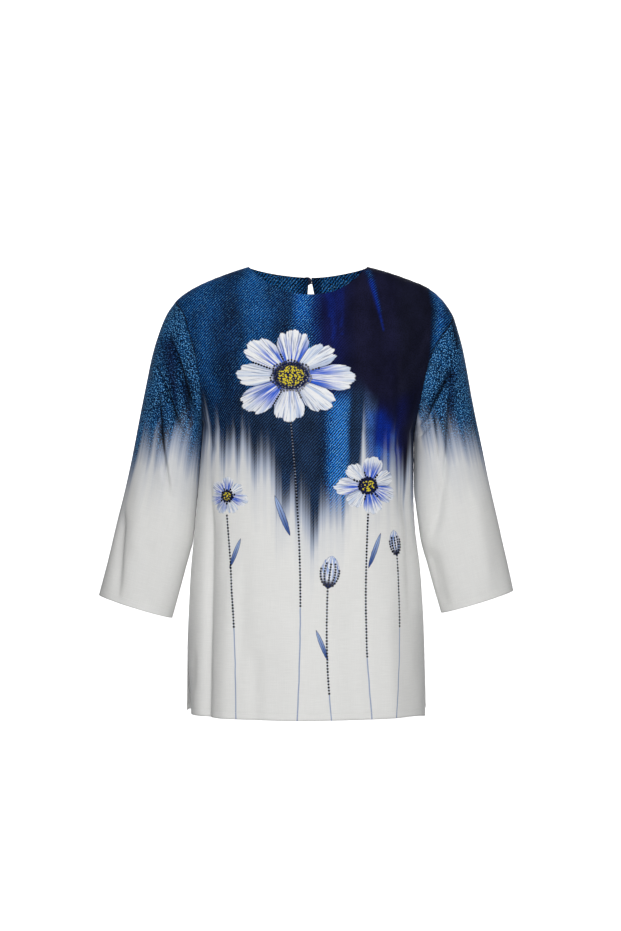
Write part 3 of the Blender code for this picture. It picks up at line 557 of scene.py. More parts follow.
# Panels by u: "upper" bands turn to "lower" ones at the drop "change". Marks are u0 v0 u1 v1 width, ink, strength
ground = {
    "front": {
        "upper": [
            (-250, "denim"), (-172, "denim"), (-160, "lightDenim"), (-148, "denim"), (-120, "darkDenim"),
            (-104, "denim"), (-92, "lightDenim"), (-72, "lightDenim"), (-56, "denim"), (-36, "darkDenim"),
            (-24, "denim"), (-12, "skyTwill"), (2, "brightTwill"), (13, "indigoTwill"), (26, "indigo"),
            (48, "indigo"), (62, "deepIndigo"), (76, "navy"), (130, "navy"), (150, "midnight"), (187, "midnight"),
            (194, "denim"), (204, "brightTwill"), (216, "denim"), (250, "denim")],
        "lower": [
            (-250, "denim"), (-150, "darkDenim"), (-90, "slate"), (14, "slate"), (25, "darkDenim"),
            (33, "brightTwill"), (44, "paleTwill"), (58, "paleTwill"), (68, "slate"), (84, "slate"), (93, "haze"),
            (104, "haze"), (112, "indigo"), (138, "deepIndigo"), (152, "indigo"), (164, "deepIndigo"), (178, "navy"),
            (250, "denim")],
        "change": 205.0, "changeOver": 50.0,
        "fadeLine": [
            (-250, 276), (-190, 276), (-165, 272), (-150, 264), (-130, 272), (-111, 284), (-95, 296), (-70, 318),
            (-50, 344), (-35, 362), (-20, 376), (0, 392), (20, 404), (40, 400), (60, 362), (72, 322), (82, 300),
            (95, 306), (110, 322), (130, 320), (155, 316), (175, 320), (200, 316), (250, 300)],
        "marks": [
            (94, -8, 112, 70, 5.0, "brightTwill", 0.55), (98, 14, 117, 104, 3.0, "cobalt", 0.75),
            (-172, 40, -150, 112, 20, "lightDenim", 0.7), (-92, 26, -86, 120, 15, "lightDenim", 0.6),
            (-50, 18, -58, 90, 14, "lightDenim", 0.5), (-128, 96, -118, 214, 24, "darkDenim", 0.75),
            (-38, 56, -48, 150, 16, "darkDenim", 0.6), (-10, 100, -30, 150, 18, "darkDenim", 0.5),
            (38, 30, 40, 130, 5, "cobalt", 0.35), (50, 10, 52, 110, 4, "cobalt", 0.3),
            (30, 24, 33, 80, 4, "cobalt", 0.4), (-176, 200, -150, 262, 22, "darkDenim", 0.6),
            (112, 240, 114, 372, 9, "cobalt", 0.9), (128, 256, 129, 372, 10, "cobalt", 0.9),
            (143, 268, 143, 372, 10, "cobalt", 0.85), (156, 292, 157, 372, 7, "cobalt", 0.8),
            (124, 300, 124, 372, 5, "royal", 0.8), (143, 270, 143, 368, 5, "royal", 0.8),
            (98, 236, 99, 330, 5, "royal", 0.6), (110, 290, 111, 380, 7, "royal", 0.9),
            (130, 300, 131, 380, 7, "royal", 0.9)],
    },
    "back": {
        "upper": [
            (-250, "denim"), (-150, "lightDenim"), (-110, "darkDenim"), (-84, "neckTwill"), (-28, "neckTwill"),
            (-8, "denim"), (10, "darkDenim"), (24, "neckTwill"), (56, "neckTwill"), (72, "brightTwill"),
            (92, "indigo"), (112, "navy"), (160, "tealNight"), (190, "denim"), (250, "denim")],
        "lower": [
            (-250, "darkDenim"), (-120, "denim"), (-90, "brightTwill"), (-60, "slate"), (-20, "indigo"), (20, "navy"),
            (50, "cobalt"), (70, "slate"), (110, "darkDenim"), (170, "slate"), (250, "denim")],
        "change": 200.0, "changeOver": 50.0,
        "fadeLine": [
            (-250, 300), (-190, 310), (-140, 300), (-100, 340), (-60, 392), (-30, 372), (0, 396), (30, 410),
            (60, 372), (90, 330), (130, 318), (170, 296), (200, 290), (250, 262)],
        "marks": [
            (-120, 60, -112, 150, 22, "lightDenim", 0.6), (20, 110, 34, 230, 24, "indigo", 0.7),
            (90, 70, 76, 190, 20, "denim", 0.55), (-30, 250, -28, 350, 8, "cobalt", 0.7),
            (48, 280, 50, 360, 7, "royal", 0.6)],
    },
}


# Ink at each point, its bands a little wavy, and the distance above the line where the print fades
def panelPrint(face, u, v):
    table = ground[face]
    blend = easeStep((v - table["change"] + waver("change", u, v)) / table["changeOver"] + 0.5)[..., None]
    ink = readBands(table["upper"], u + waver("upper", u, v)) * (1 - blend)
    ink += readBands(table["lower"], u + waver("lower", u, v)) * blend
    return layMarks(ink, table["marks"], u, v), np.interp(u, *zip(*table["fadeLine"])) - v


# Sleeves by turn: 0 is the outer fold, 0.25 the front, 0.5 the underarm, 0.75 the back;
# marks lie on the front as x0 drop0 x1 drop1 width, ink, strength. The dark navy marks between the creases are navy
# ink and painted shade of facets turned from the light
sleevePrint = (
    {"bands": [
        (0.0, "armDenim"), (.06, "armLight"), (.12, "armDenim"), (.24, "armDark"), (.32, "armDenim"),
        (.42, "armDenim"), (.5, "armDark"), (.6, "armDark"), (.7, "armLight"), (.85, "armDark"), (1.0, "armDenim")],
     "fadeLine": [
        (0, 340), (.06, 312), (.12, 286), (.2, 282), (.3, 290), (.4, 302), (.5, 306), (.75, 290), (.92, 312),
        (1, 340)],
     "marks": [
        (-217, 126, -205, 214, 13, "navyAndFoldShade", 0.9), (-190, 190, -180, 250, 9, "navyAndFoldShade", 0.8),
        (-196, 120, -184, 190, 8, "armLight", 0.5), (-228, 230, -222, 300, 10, "navyAndFoldShade", 0.5)]},
    {"bands": [
        (0.0, "armDenim"), (.08, "armDark"), (.15, "armDenim"), (.22, "armDark"), (.32, "armDenim"),
        (.42, "armDenim"), (.5, "armDark"), (.6, "armDark"), (.7, "armDenim"), (.85, "armDark"), (1.0, "armDenim")],
     "fadeLine": [
        (0, 310), (.07, 292), (.14, 276), (.22, 262), (.3, 250), (.4, 244), (.5, 250), (.75, 268), (.92, 296),
        (1, 310)],
     "marks": [
        (226, 60, 232, 130, 7, "navyAndFoldShade", 0.7), (224, 170, 221, 270, 7, "navyAndFoldShade", 0.8),
        (196, 150, 184, 220, 10, "armLight", 0.5), (240, 190, 252, 270, 10, "armLight", 0.5)]},
)


# The same for a sleeve; its marks ease out at the underarm
def armPrint(side, arm):
    table, turn, (x, drop) = sleevePrint[side], arm["turn"], np.moveaxis(arm["base"][..., [0, 2]], 2, 0)
    ink = readBands(table["bands"], np.clip(turn + waver("turn", np.abs(turn * 2 - 1), arm["v"], side), 0, 1))
    ink = layMarks(ink, table["marks"], x, drop, easeStep((0.5 - turn) / sleeve["underarmTurn"]))
    return ink, np.interp(turn, *zip(*table["fadeLine"])) - drop


def shown(red, green, blue):
    return (*screenToLinear((red, green, blue)), 1.0)


# A node's output that takes part in sums as a number does; each step of a sum is one Math node
class Flow:
    def __init__(self, bench, socket):
        self.bench, self.socket = bench, socket

    def __add__(self, other):
        return self.bench.calc("ADD", self, other)

    def __sub__(self, other):
        return self.bench.calc("SUBTRACT", self, other)

    def __rsub__(self, other):
        return self.bench.calc("SUBTRACT", other, self)

    def __mul__(self, other):
        return self.bench.calc("MULTIPLY", self, other)

    def __truediv__(self, other):
        return self.bench.calc("DIVIDE", self, other)

    def __pow__(self, other):
        return self.bench.calc("POWER", self, other)

    def __abs__(self):
        return self.bench.calc("ABSOLUTE", self)

    __radd__ = __add__


# Places nodes in one tree, and hands back their outputs as Flows
class NodeBench:
    def __init__(self, tree):
        self.tree = tree

    def fill(self, inputs, feeds):
        for key, value in dict(feeds).items():
            if isinstance(value, Flow):
                self.tree.links.new(value.socket, inputs[key])
            else:
                inputs[key].default_value = value

    def place(self, kind, feeds=(), **settings):
        node = self.tree.nodes.new(kind)
        for key, value in settings.items():
            setattr(node, key, value)
        self.fill(node.inputs, feeds)
        return node

    def read(self, kind, key=0, feeds=(), **settings):
        return Flow(self, self.place(kind, feeds, **settings).outputs[key])

    def calc(self, operation, *values, clamp=False):
        return self.read("ShaderNodeMath", 0, enumerate(values), operation=operation, use_clamp=clamp)

    def clamped(self, value):
        return self.calc("ADD", value, 0.0, clamp=True)

    def sine(self, value):
        return self.calc("SINE", value)

    def most(self, first, second):
        return self.calc("MAXIMUM", first, second)

    def ease(self, value, low, high, start=0.0, end=1.0):
        feeds = {"Value": value, "From Min": low, "From Max": high, "To Min": start, "To Max": end}
        return self.read("ShaderNodeMapRange", 0, feeds, interpolation_type="SMOOTHSTEP")

    def blend(self, share, first, second):
        return self.read("ShaderNodeMix", 2, {0: share, 6: first, 7: second}, data_type="RGBA")

    def scaled(self, colour, amount):
        return self.read("ShaderNodeVectorMath", 0, {0: colour, "Scale": amount}, operation="SCALE")

    def spot(self, x, y, z=0.0):
        return self.read("ShaderNodeCombineXYZ", 0, enumerate((x, y, z)))

    def noise(self, vector, detail=1.0, rough=0.5):
        feeds = {"Vector": vector, "Scale": 1.0, "Detail": detail, "Roughness": rough}
        return self.read("ShaderNodeTexNoise", 0, feeds, noise_dimensions="3D")

    def field(self, name, key="Fac"):
        return self.read("ShaderNodeAttribute", key, attribute_name=name)

    def objectPlace(self, scale):
        at = self.read("ShaderNodeTexCoord", "Object")
        return self.read("ShaderNodeVectorMath", 0, {0: at, 1: (scale, scale, scale)}, operation="MULTIPLY")

    def dent(self, height, strength, distance):
        return self.read("ShaderNodeBump", 0, {"Height": height, "Strength": strength, "Distance": distance})

    def split(self, vector):
        return [Flow(self, socket) for socket in self.place("ShaderNodeSeparateXYZ", {0: vector}).outputs]


def startGroup(name, inputs, outputs):
    tree = bpy.data.node_groups.new(name, "ShaderNodeTree")
    for direction, names in (("INPUT", inputs), ("OUTPUT", outputs)):
        for item in names:
            kind = "NodeSocketColor" if item.endswith("Colour") else "NodeSocketFloat"
            tree.interface.new_socket(name=item, in_out=direction, socket_type=kind)
    bench = NodeBench(tree)
    entry, leave = bench.place("NodeGroupInput").outputs, bench.place("NodeGroupOutput").inputs
    return tree, bench, {item: Flow(bench, entry[item]) for item in inputs}, leave


# A group placed with values by name. In a painted item a pair such as "at" fills AtU and AtV, and its "stones" are
# for the stones' code alone
def useGroup(bench, tree, item=None, **values):
    for key, value in (item or {}).items():
        name = key.capitalize()
        values.update(zip((name + "U", name + "V"), value) if isinstance(value, tuple) else {name: float(value)})
    values.pop("Stones", None)
    node = bench.place("ShaderNodeGroup", values, node_tree=tree)
    return {socket.name: Flow(bench, socket) for socket in node.outputs}


# A new material with its bench and its shader's inputs
def startMaterial(name):
    material = bpy.data.materials.new(name)
    material.use_nodes = True
    return material, NodeBench(material.node_tree), material.node_tree.nodes["Principled BSDF"].inputs


# Tones and sizes of the print and the weave; streaks are width, reach and seed
cloth = {
    "white": shown(233, 233, 231), "wash": shown(68, 106, 160),
    "fleck": shown(26, 132, 226), "spark": shown(108, 178, 236),
    "twillPitch": 3.3, "twillSlope": 48.0, "twillWander": 1.3, "dashLength": 5.0, "speckSize": 1.6, "specks": 0.85,
    "contrast": 2.6, "fleckShare": 0.36, "sparkShare": 0.45,
    "streaks": ((15.0, 120.0, 1.5), (6.0, 66.0, 7.5), (1.7, 26.0, 12.5)), "streakLength": 300.0, "fadeSoft": 60.0,
    "sideSeamOff": 9.0, "topSeam": 0.5, "coverPower": 1.7, "thin": (0.45, 1.0), "cloudWide": 24.0, "cloudTall": 46.0,
    "threadPitch": 0.62, "weaveBump": 0.22, "roughness": 0.70, "sheen": 0.03, "creaseShade": 0.9,
}


# The faded twill print. Along slanting lines the threads stand out as (1 + sin(2 pi * distance across / pitch)) / 2,
# or as specks of noise where Speckle is 1. They scale the ink from dark furrows to light ridges, under a cloudy tone,
# and carry flecks and sparks. Cover is 1 - (1 - ease(gap))^power: gap is the distance above the fade line, moved by
# noise drawn out down the cloth, which makes upright streaks. Thin cover shows as a pale wash over the white
def makeTwillPrint():
    tree, b, get, put = startGroup(
        "fadedTwill", ("U", "V", "InkColour", "Fleck", "FadeGap", "Speckle", "Finer"), ("PrintColour", "Cover"))
    u, v, fleck, speckle = get["U"], get["V"], get["Fleck"], get["Speckle"]
    slope, pitch, dash = math.radians(cloth["twillSlope"]), cloth["twillPitch"], cloth["dashLength"]
    wander = (b.noise(b.spot(u * 0.035, v * 0.035), 2.0) - 0.5) * cloth["twillWander"]
    across = (u * (math.sin(slope) / pitch) + v * (math.cos(slope) / pitch)) * get["Finer"] + wander
    along = u * (math.cos(slope) / dash) - v * (math.sin(slope) / dash)
    lines = b.ease(b.sine(across * (2 * math.pi)) * 0.5 + 0.5, 0.1, 0.9)
    broken = b.ease(b.noise(b.spot(across * 1.1, along * 2.2), 1.0), 0.34, 0.62)
    grain = b.noise(b.spot(u / cloth["speckSize"], v / (cloth["speckSize"] * 1.25)), 0.0)
    specks = (b.ease(grain, 0.50, 0.74) * 1.2 + 0.16) * (speckle * cloth["specks"])
    ridge = lines * (speckle * -cloth["specks"] + 1.0) + specks
    cloud = b.noise(b.spot(u / cloth["cloudWide"], v / cloth["cloudTall"], 3.0), 3.0, 0.55)
    depth = (ridge - 0.6) * (fleck * cloth["contrast"])
    tone = b.scaled(get["InkColour"], b.most(depth + b.ease(grain, 0.3, 0.6, 0.6, 1.1), 0.05) * (cloud * 1.9 + 0.05))
    light = b.clamped(ridge * broken * (fleck * b.ease(cloud, 0.25, 0.75, 0.35, 1.15)))
    ink = b.blend(b.clamped(light * fleck * cloth["fleckShare"]), tone, cloth["fleck"])
    glint = b.ease(grain, 0.54, 0.78) * b.most(lines * 0.8 + 0.2, speckle * 1.1)
    ink = b.blend(b.clamped(glint * (fleck * fleck * cloth["sparkShare"])), ink, cloth["spark"])

    edge = sum(
        (b.noise(b.spot(u / width, v / cloth["streakLength"], seed), 0.0) - 0.5) * reach
        for width, reach, seed in cloth["streaks"])
    gap = get["FadeGap"] + edge * (speckle * -0.45 + 1.0)
    soft = cloth["fadeSoft"]
    tail = b.ease(gap, -2.0 * soft, soft * 0.8) * 0.2
    cover = 1.0 - (1.0 - b.most(b.ease(gap, -soft, soft), tail)) ** cloth["coverPower"]
    faded = b.blend(b.ease(cover, *cloth["thin"]), cloth["wash"], ink)
    b.fill(put, {"PrintColour": b.blend(cover, cloth["white"], faded), "Cover": cover})
    return tree


# Plain weave: at each crossing the upper thread's rounded profile |sin|, plus slubs drawn out along both ways
def makeWeave():
    tree, b, get, put = startGroup("plainWeave", ("U", "V"), ("Height", "Shade"))
    u, v, pitch = get["U"], get["V"], cloth["threadPitch"]
    warp, weft = b.sine(u * (math.pi / pitch)), b.sine(v * (math.pi / pitch))
    over = b.calc("GREATER_THAN", warp * weft, 0.0)
    thread = abs(warp) * over + abs(weft) * (1.0 - over)
    crosswise = b.noise(b.spot(u / 22.0, v / 0.9), 1.0)
    lengthwise = b.noise(b.spot(u / 0.9, v / 30.0, 5.0), 1.0)
    slub = b.ease(crosswise, 0.3, 0.8) + b.ease(lengthwise, 0.3, 0.8) * 0.7
    mottle = b.noise(b.spot(u / 60.0, v / 80.0, 9.0), 2.0)
    b.fill(put, {"Height": thread * 0.5 + slub * 0.5, "Shade": slub * 0.05 + 0.935 + mottle * 0.05})
    return tree


paint = {
    "white": shown(240, 241, 243), "tint": shown(188, 203, 228), "overlap": shown(112, 136, 184),
    "deep": shown(26, 86, 212), "base": shown(30, 66, 176), "vein": shown(74, 96, 146), "line": shown(22, 34, 84),
    "heartDark": shown(20, 28, 66), "heartLight": shown(222, 204, 52),
    "stemStoned": shown(196, 204, 222), "stemBare": shown(132, 149, 188), "navy": shown(24, 34, 78),
    "leafFoot": shown(66, 94, 158), "leafTip": shown(158, 180, 222),
    "budPale": shown(236, 238, 244), "budTint": shown(150, 178, 230), "budLine": shown(40, 60, 130),
}


# An open blossom seen a little from the side. In polar measures round its middle each of the petals has the outline
# length * (1 - 0.34 w^3) with a notched tip, w being the share of the way from the petal's middle line to its edge,
# and streaks of paint drawn out from the middle; each petal shades the next, and dark lines part them
def makeBlossom():
    tree, b, get, put = startGroup(
        "paintedBlossom", ("U", "V", "AtU", "AtV", "Radius", "Flat", "Turn", "Petals", "Seed"),
        ("PaintColour", "Mask"))
    seed, overU, overV = get["Seed"], get["U"] - get["AtU"], get["V"] - get["AtV"]
    dx, dy = overU / get["Radius"], overV / (get["Radius"] * get["Flat"])
    r = b.calc("SQRT", dx * dx + dy * dy)
    share = (b.calc("ARCTAN2", dy, dx) + get["Turn"]) * (get["Petals"] / (2 * math.pi))
    petal, aside = b.calc("FLOOR", share), b.calc("FRACT", share) - 0.5
    w = abs(aside) * 2.0
    luck = b.sine(petal * 2.4 + seed) * 0.5 + 0.5
    streaks = b.noise(b.spot(aside * 9.0 + petal * 13.0, r * 1.1, seed), 3.0, 0.65)
    fine = b.noise(b.spot(aside * 26.0 + petal * 31.0, r * 2.2, seed), 2.0, 0.6)
    notch = b.ease(abs(w - 0.36), 0.0, 0.2, 1.0, 0.0) * 0.055
    outline = (luck * 0.15 + 0.85) * (1.0 - w ** 3.0 * 0.34) - (notch + (fine - 0.5) * 0.1)
    inside = outline - r
    between = b.ease((1.0 - w) * r, 0.02, 0.01) * b.ease(r, 0.14, 0.2)
    rim = b.ease(inside, 0.024, 0.008) * b.ease(streaks, 0.44, 0.54)
    deep = b.ease(streaks + luck * 0.16, 0.52, 0.68) * b.ease(r, 0.9, 0.42) * b.ease(luck, 0.3, 0.6)
    colour = b.blend(b.ease(streaks, 0.42, 0.68), paint["white"], paint["tint"])
    for amount, name in (
            (b.ease(aside, 0.1, 0.5) * b.ease(r, 0.95, 0.3) * 0.5, "overlap"), (deep * 0.95, "deep"),
            (b.ease(r + fine * 0.16, 0.44, 0.28) * 0.75, "base"),
            (b.ease(fine, 0.54, 0.62) * b.ease(r, 1.0, 0.8) * 0.6, "vein"), (b.most(between, rim) * 0.85, "line")):
        colour = b.blend(amount, colour, paint[name])
    dots = b.read("ShaderNodeTexVoronoi", 0, {
        "Vector": b.spot(overU * 0.3, overV * 0.36, seed), "Scale": 1.0, "Randomness": 0.85}, voronoi_dimensions="3D")
    core = b.ease(r + (fine - 0.5) * 0.12, 0.3, 0.26)
    heart = b.ease(r, 0.215, 0.185) * b.ease(dots, 0.5, 0.38)
    centre = b.blend(heart, paint["heartDark"], paint["heartLight"])
    b.fill(put, {"PaintColour": b.blend(core, colour, centre), "Mask": b.most(b.ease(inside, 0.0, 0.022), core)})
    return tree


# A bud or a slender leaf: a lens along a line from its foot to its tip, width * (4 s (1 - s))^0.7 at share s
def makeLens():
    tree, b, get, put = startGroup(
        "paintedLens", ("U", "V", "FootU", "FootV", "RunU", "RunV", "Width", "Stripes"), ("Mask", "Line", "Along"))
    x, y, runU, runV = get["U"] - get["FootU"], get["V"] - get["FootV"], get["RunU"], get["RunV"]
    size = runU * runU + runV * runV
    along = (x * runU + y * runV) / size
    aside = (x * runV - y * runU) / b.calc("SQRT", size)
    held = b.clamped(along)
    rag = b.noise(b.spot(get["U"] / 4.0, get["V"] / 7.0), 1.0)
    half = get["Width"] * (held * (1.0 - held) * 4.0) ** 0.7 * (rag * 0.3 + 0.85)
    inside = half - abs(aside)
    wave = abs(b.sine(aside / b.most(half, 0.2) * (get["Stripes"] * math.pi)))
    line = b.most(b.ease(inside, 1.3, 0.5), b.ease(wave, 0.34, 0.14))
    b.fill(put, {"Mask": b.ease(inside, -0.1, 0.6), "Line": line, "Along": along})
    return tree


# A stem down to the hem: u = top + (foot - top) s + sway sin(pi s), wandering a little, within its half width
def makeStem():
    tree, b, get, put = startGroup(
        "paintedStem", ("U", "V", "TopU", "TopV", "Foot", "Sway", "Half"), ("Mask", "Down"))
    share = (get["V"] - get["TopV"]) / (body["length"] - get["TopV"])
    line = get["TopU"] + ((get["Foot"] - get["TopU"]) * share + get["Sway"] * b.sine(share * math.pi))
    wander = (b.noise(b.spot(get["V"] / 26.0, get["TopU"]), 1.0) - 0.5) * 1.6
    away = abs(get["U"] - line - wander)
    mask = b.ease(away - get["Half"], 0.5, -0.3) * b.ease(share, -0.004, 0.004)
    b.fill(put, {"Mask": mask, "Down": share})
    return tree


groups = {
    "twill": makeTwillPrint(), "weave": makeWeave(), "blossom": makeBlossom(), "lens": makeLens(), "stem": makeStem()}

# Painted flowers of the front, in cloth measures: open many-petalled blossoms, two buds, leaves and stems.
# Buds and leaves run from a foot by a run to the tip; "stones" is the share of a stem's length that carries stones
painting = {
    "blossoms": [
        {"at": (-26.0, 176.0), "radius": 100.0, "flat": 0.78, "turn": 0.35, "petals": 8, "seed": 1.3},
        {"at": (94.0, 344.0), "radius": 56.0, "flat": 0.82, "turn": 0.9, "petals": 7, "seed": 4.1},
        {"at": (-130.0, 360.0), "radius": 38.0, "flat": 0.84, "turn": 0.2, "petals": 7, "seed": 7.7}],
    "buds": [
        {"foot": (30.0, 500.0), "run": (7.0, -50.0), "width": 15.0, "stripes": 2.5},
        {"foot": (146.0, 452.0), "run": (-6.0, -40.0), "width": 11.0, "stripes": 2.5}],
    "leaves": [
        {"foot": (-27.0, 420.0), "run": (-24.0, -62.0), "width": 5.0, "stripes": 1.0},
        {"foot": (94.0, 470.0), "run": (22.0, -54.0), "width": 4.4, "stripes": 1.0},
        {"foot": (-124.0, 470.0), "run": (19.0, -46.0), "width": 4.0, "stripes": 1.0},
        {"foot": (31.0, 610.0), "run": (-19.0, -48.0), "width": 3.8, "stripes": 1.0}],
    "stems": [
        {"top": (-26.0, 246.0), "foot": -16.0, "sway": 9.0, "half": 0.9, "stones": 0.62},
        {"top": (94.0, 386.0), "foot": 100.0, "sway": -7.0, "half": 0.9, "stones": 0.70},
        {"top": (-130.0, 388.0), "foot": -112.0, "sway": 5.0, "half": 0.8, "stones": 0.55},
        {"top": (30.0, 498.0), "foot": 36.0, "sway": -4.0, "half": 0.8, "stones": 0.80},
        {"top": (146.0, 450.0), "foot": 140.0, "sway": 5.0, "half": 0.8, "stones": 0.45}],
}


# Paints the flowers over the print, back to front: stems, leaves, buds, blossoms
def paintFlowers(b, u, v, colour, cover):
    for item in painting["stems"]:
        out = useGroup(b, groups["stem"], item, U=u, V=v)
        bare = b.ease(out["Down"], item["stones"], item["stones"] + 0.01)
        tone = b.blend(bare, paint["stemStoned"], paint["stemBare"])
        colour = b.blend(out["Mask"] * b.ease(cover, 0.2, 1.0, 0.85, 0.4), colour, tone)
    for item in painting["leaves"]:
        out = useGroup(b, groups["lens"], item, U=u, V=v)
        tone = b.blend(b.ease(out["Along"], 0.1, 0.9), paint["leafFoot"], paint["leafTip"])
        colour = b.blend(out["Mask"], colour, b.blend(out["Line"], tone, paint["navy"]))
    for item in painting["buds"]:
        out = useGroup(b, groups["lens"], item, U=u, V=v)
        brush = b.noise(b.spot(u / 2.4, v / 16.0), 2.0)
        tone = b.blend(b.ease(brush, 0.45, 0.65), paint["budPale"], paint["budTint"])
        tone = b.blend(out["Line"] * 0.75, tone, paint["budLine"])
        colour = b.blend(out["Mask"], colour, b.blend(b.ease(out["Along"], 0.30, 0.12), tone, paint["navy"]))
    for item in painting["blossoms"]:
        out = useGroup(b, groups["blossom"], item, U=u, V=v)
        colour = b.blend(out["Mask"], colour, out["PaintColour"])
    return colour


# Printed cloth: the print, the flowers where asked, painted shade as dark lines down the seams and sharp creases and
# through the light factor, and a bump of the weave, stitch line and turned-up hem; hemStep is the height in mm above
# the hem's stitch line
def clothMaterial(name, speckle, flowers, light=1.0, finer=1.0):
    material, b, looks = startMaterial(name)
    measures = b.split(b.read("ShaderNodeUVMap", uv_map="clothMeasures"))
    u, v = measures[0] * 1000.0, measures[1] * 1000.0
    out = useGroup(
        b, groups["twill"], U=u, V=v, InkColour=b.field("ink", "Color"), Fleck=b.field("ink", "Alpha"),
        FadeGap=b.field("fadeGap"), Speckle=speckle, Finer=finer)
    colour = out["PrintColour"]
    if flowers:
        colour = paintFlowers(b, u, v, colour, out["Cover"])
    weave = useGroup(b, groups["weave"], U=u, V=v)
    # Painted shade: the colour darkens along sharp creases, less where the print has faded to white
    fold = b.ease(abs(b.field("creaseSide")), 3.2, 0.2) * b.field("paintedCreaseShade")
    fold = fold * b.ease(out["Cover"], 0.1, 0.8, 0.2, 1.0)
    # Painted shade: a dark line within about 2 mm of a seam, joined with the crease shade
    dark = b.most(b.ease(b.field("seamGap"), 2.2, 0.2), fold)
    # the light factor scales the whole colour: painted shade where it is below 1
    shade = weave["Shade"] * (dark * (-cloth["creaseShade"] * light) + light)
    edge = b.field("hemStep")
    hem = b.ease(abs(edge), 1.6, 0.0) * -0.5 + b.ease(edge, 1.0, -1.5) * 0.6
    b.fill(looks, {
        "Base Color": b.scaled(colour, shade), "Roughness": weave["Height"] * 0.1 + (cloth["roughness"] - 0.05),
        "Normal": b.dent(weave["Height"] * cloth["weaveBump"] + hem, 0.6, 0.0004), "Specular IOR Level": 0.05,
        "Sheen Weight": cloth["sheen"], "Sheen Roughness": 0.45, "Sheen Tint": (0.55, 0.70, 1.0, 1.0)})
    return material


materials = {
    "front": clothMaterial("printedClothFront", 0.0, True),
    "back": clothMaterial("printedClothBack", 0.0, False, 1.0, 0.8),
    # The sleeves' copy is 0.93 times as light: painted shade, for sleeves that lie less lit
    "sleeve": clothMaterial("printedClothSleeve", 1.0, False, 0.93),
}
print("blouse: cloth materials made")

blouse = bpy.data.collections.new("blouse")
bpy.context.scene.collection.children.link(blouse)


# A mesh as a piece that rides the one body, with the solid it stands for
def addPiece(mesh, material, node=None):
    mesh.materials.append(material)
    piece = bpy.data.objects.new(mesh.name, mesh)
    blouse.objects.link(piece)
    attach(piece, "root")
    if node:
        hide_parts(node)
    return piece


def makeMesh(name, points, faces):
    mesh = bpy.data.meshes.new(name)
    mesh.from_pydata(points.tolist(), [], faces)
    return mesh


# Turns every face outward, then thickens the shell inward: cloth thickness, twice that in the hems
def clothPiece(name, node, points, quads, corners, fields, outward, material):
    world = toWorld(points)
    edge1, edge2 = world[quads[:, 2]] - world[quads[:, 0]], world[quads[:, 3]] - world[quads[:, 1]]
    facing = np.sum(np.cross(edge1, edge2) * outward[quads[:, 0]] * [1, 1, -1], axis=1)
    if np.median(facing) < 0:
        quads, corners = quads[:, ::-1], corners[:, ::-1]
    mesh = makeMesh(name, world, quads.tolist())
    layer = mesh.uv_layers.new(name="clothMeasures")
    layer.uv.foreach_set("vector", (corners * 0.001).astype(np.float32).ravel())
    for key, values in fields.items():
        kind, item = ("FLOAT_COLOR", "color") if key == "ink" else ("FLOAT", "value")
        mesh.attributes.new(key, kind, "POINT").data.foreach_set(item, values.astype(np.float32).ravel())
    mesh.shade_smooth()
    piece = addPiece(mesh, material, node)
    turned = np.flatnonzero(fields["hemStep"] < 0)
    piece.vertex_groups.new(name="hems").add(turned.tolist(), 1.0, "REPLACE")
    wall = piece.modifiers.new("clothThickness", "SOLIDIFY")
    wall.thickness = body["hemThick"] * 0.001
    wall.offset = -1.0
    wall.vertex_group = "hems"
    wall.thickness_vertex_group = body["clothThick"] / body["hemThick"]
    return piece


# The four grid points round each cell of a grid
def cells(grid):
    return np.stack([grid[:-1, :-1], grid[1:, :-1], grid[1:, 1:], grid[:-1, 1:]], axis=-1).reshape(-1, 4)


# hemStep is the distance above the stitch line of the nearest turned edge, the hem's or the slit's. The seam's
# painted shade, a dark line near the seam set by seamGap, falls on the shoulder seam and the back's neck edge too,
# and below the underarm it stays sideSeamOff away
def makePanel(face):
    panel = panels[face]
    ink, gap = panelPrint(face, panel["u"], panel["v"])
    rows, columns = panel["u"].shape
    seamGap = panel["toSide"] + cloth["sideSeamOff"] * (np.arange(rows) > body["upperRows"])[:, None]
    edged = (np.abs(panel["base"][..., 0]) > body["neckHalf"]) | (face == "back")
    seamGap = np.where(edged, np.minimum(seamGap, cloth["topSeam"] * (1 + panel["toTop"])), seamGap)
    toSlit = np.where(panel["v"] > body["slitTop"] - stitches["turnAbove"], panel["toSide"], np.inf)
    toSlit = toSlit - stitches["inFromSlit"]
    hemStep = np.minimum(panel["v"][-1:] - panel["v"] - body["hemDepth"], toSlit)
    plain = np.zeros(seamGap.shape)
    fields = {
        "ink": ink, "fadeGap": gap, "hemStep": hemStep, "seamGap": seamGap, "creaseSide": plain, "paintedCreaseShade": plain}
    quads = cells(np.arange(rows * columns).reshape(rows, columns))
    points, outward = panel["grid"].reshape(-1, 3), panel["normal"].reshape(-1, 3)
    u, v = panel["u"].ravel(), panel["v"].ravel()
    fields = {key: value.reshape(len(points), -1) for key, value in fields.items()}
    if face == "back":
        opened, shift, rightCopy, rightShift, slot = openKeyhole(panel)
        middle = columns // 2
        points = np.concatenate([opened.reshape(-1, 3), rightCopy])
        column = np.arange(slot) * columns + middle
        u = np.concatenate([u + shift.ravel(), u[column] + rightShift])
        outward, v = (np.concatenate([value, value[column]]) for value in (outward, v))
        fields = {key: np.concatenate([value, value[column]]) for key, value in fields.items()}
        # the quads just right of the slot take the right copy's vertices
        swap = np.full(rows * columns, -1)
        swap[column] = rows * columns + np.arange(slot)
        rightOf = (np.arange(len(quads)) % (columns - 1)) == middle
        block = quads[rightOf]
        quads[rightOf] = np.where(swap[block] >= 0, swap[block], block)
    corners = np.stack([u, v], axis=1)[quads]
    return clothPiece(face + "Body", face + "_panel", points, quads, corners, fields, outward, materials[face])


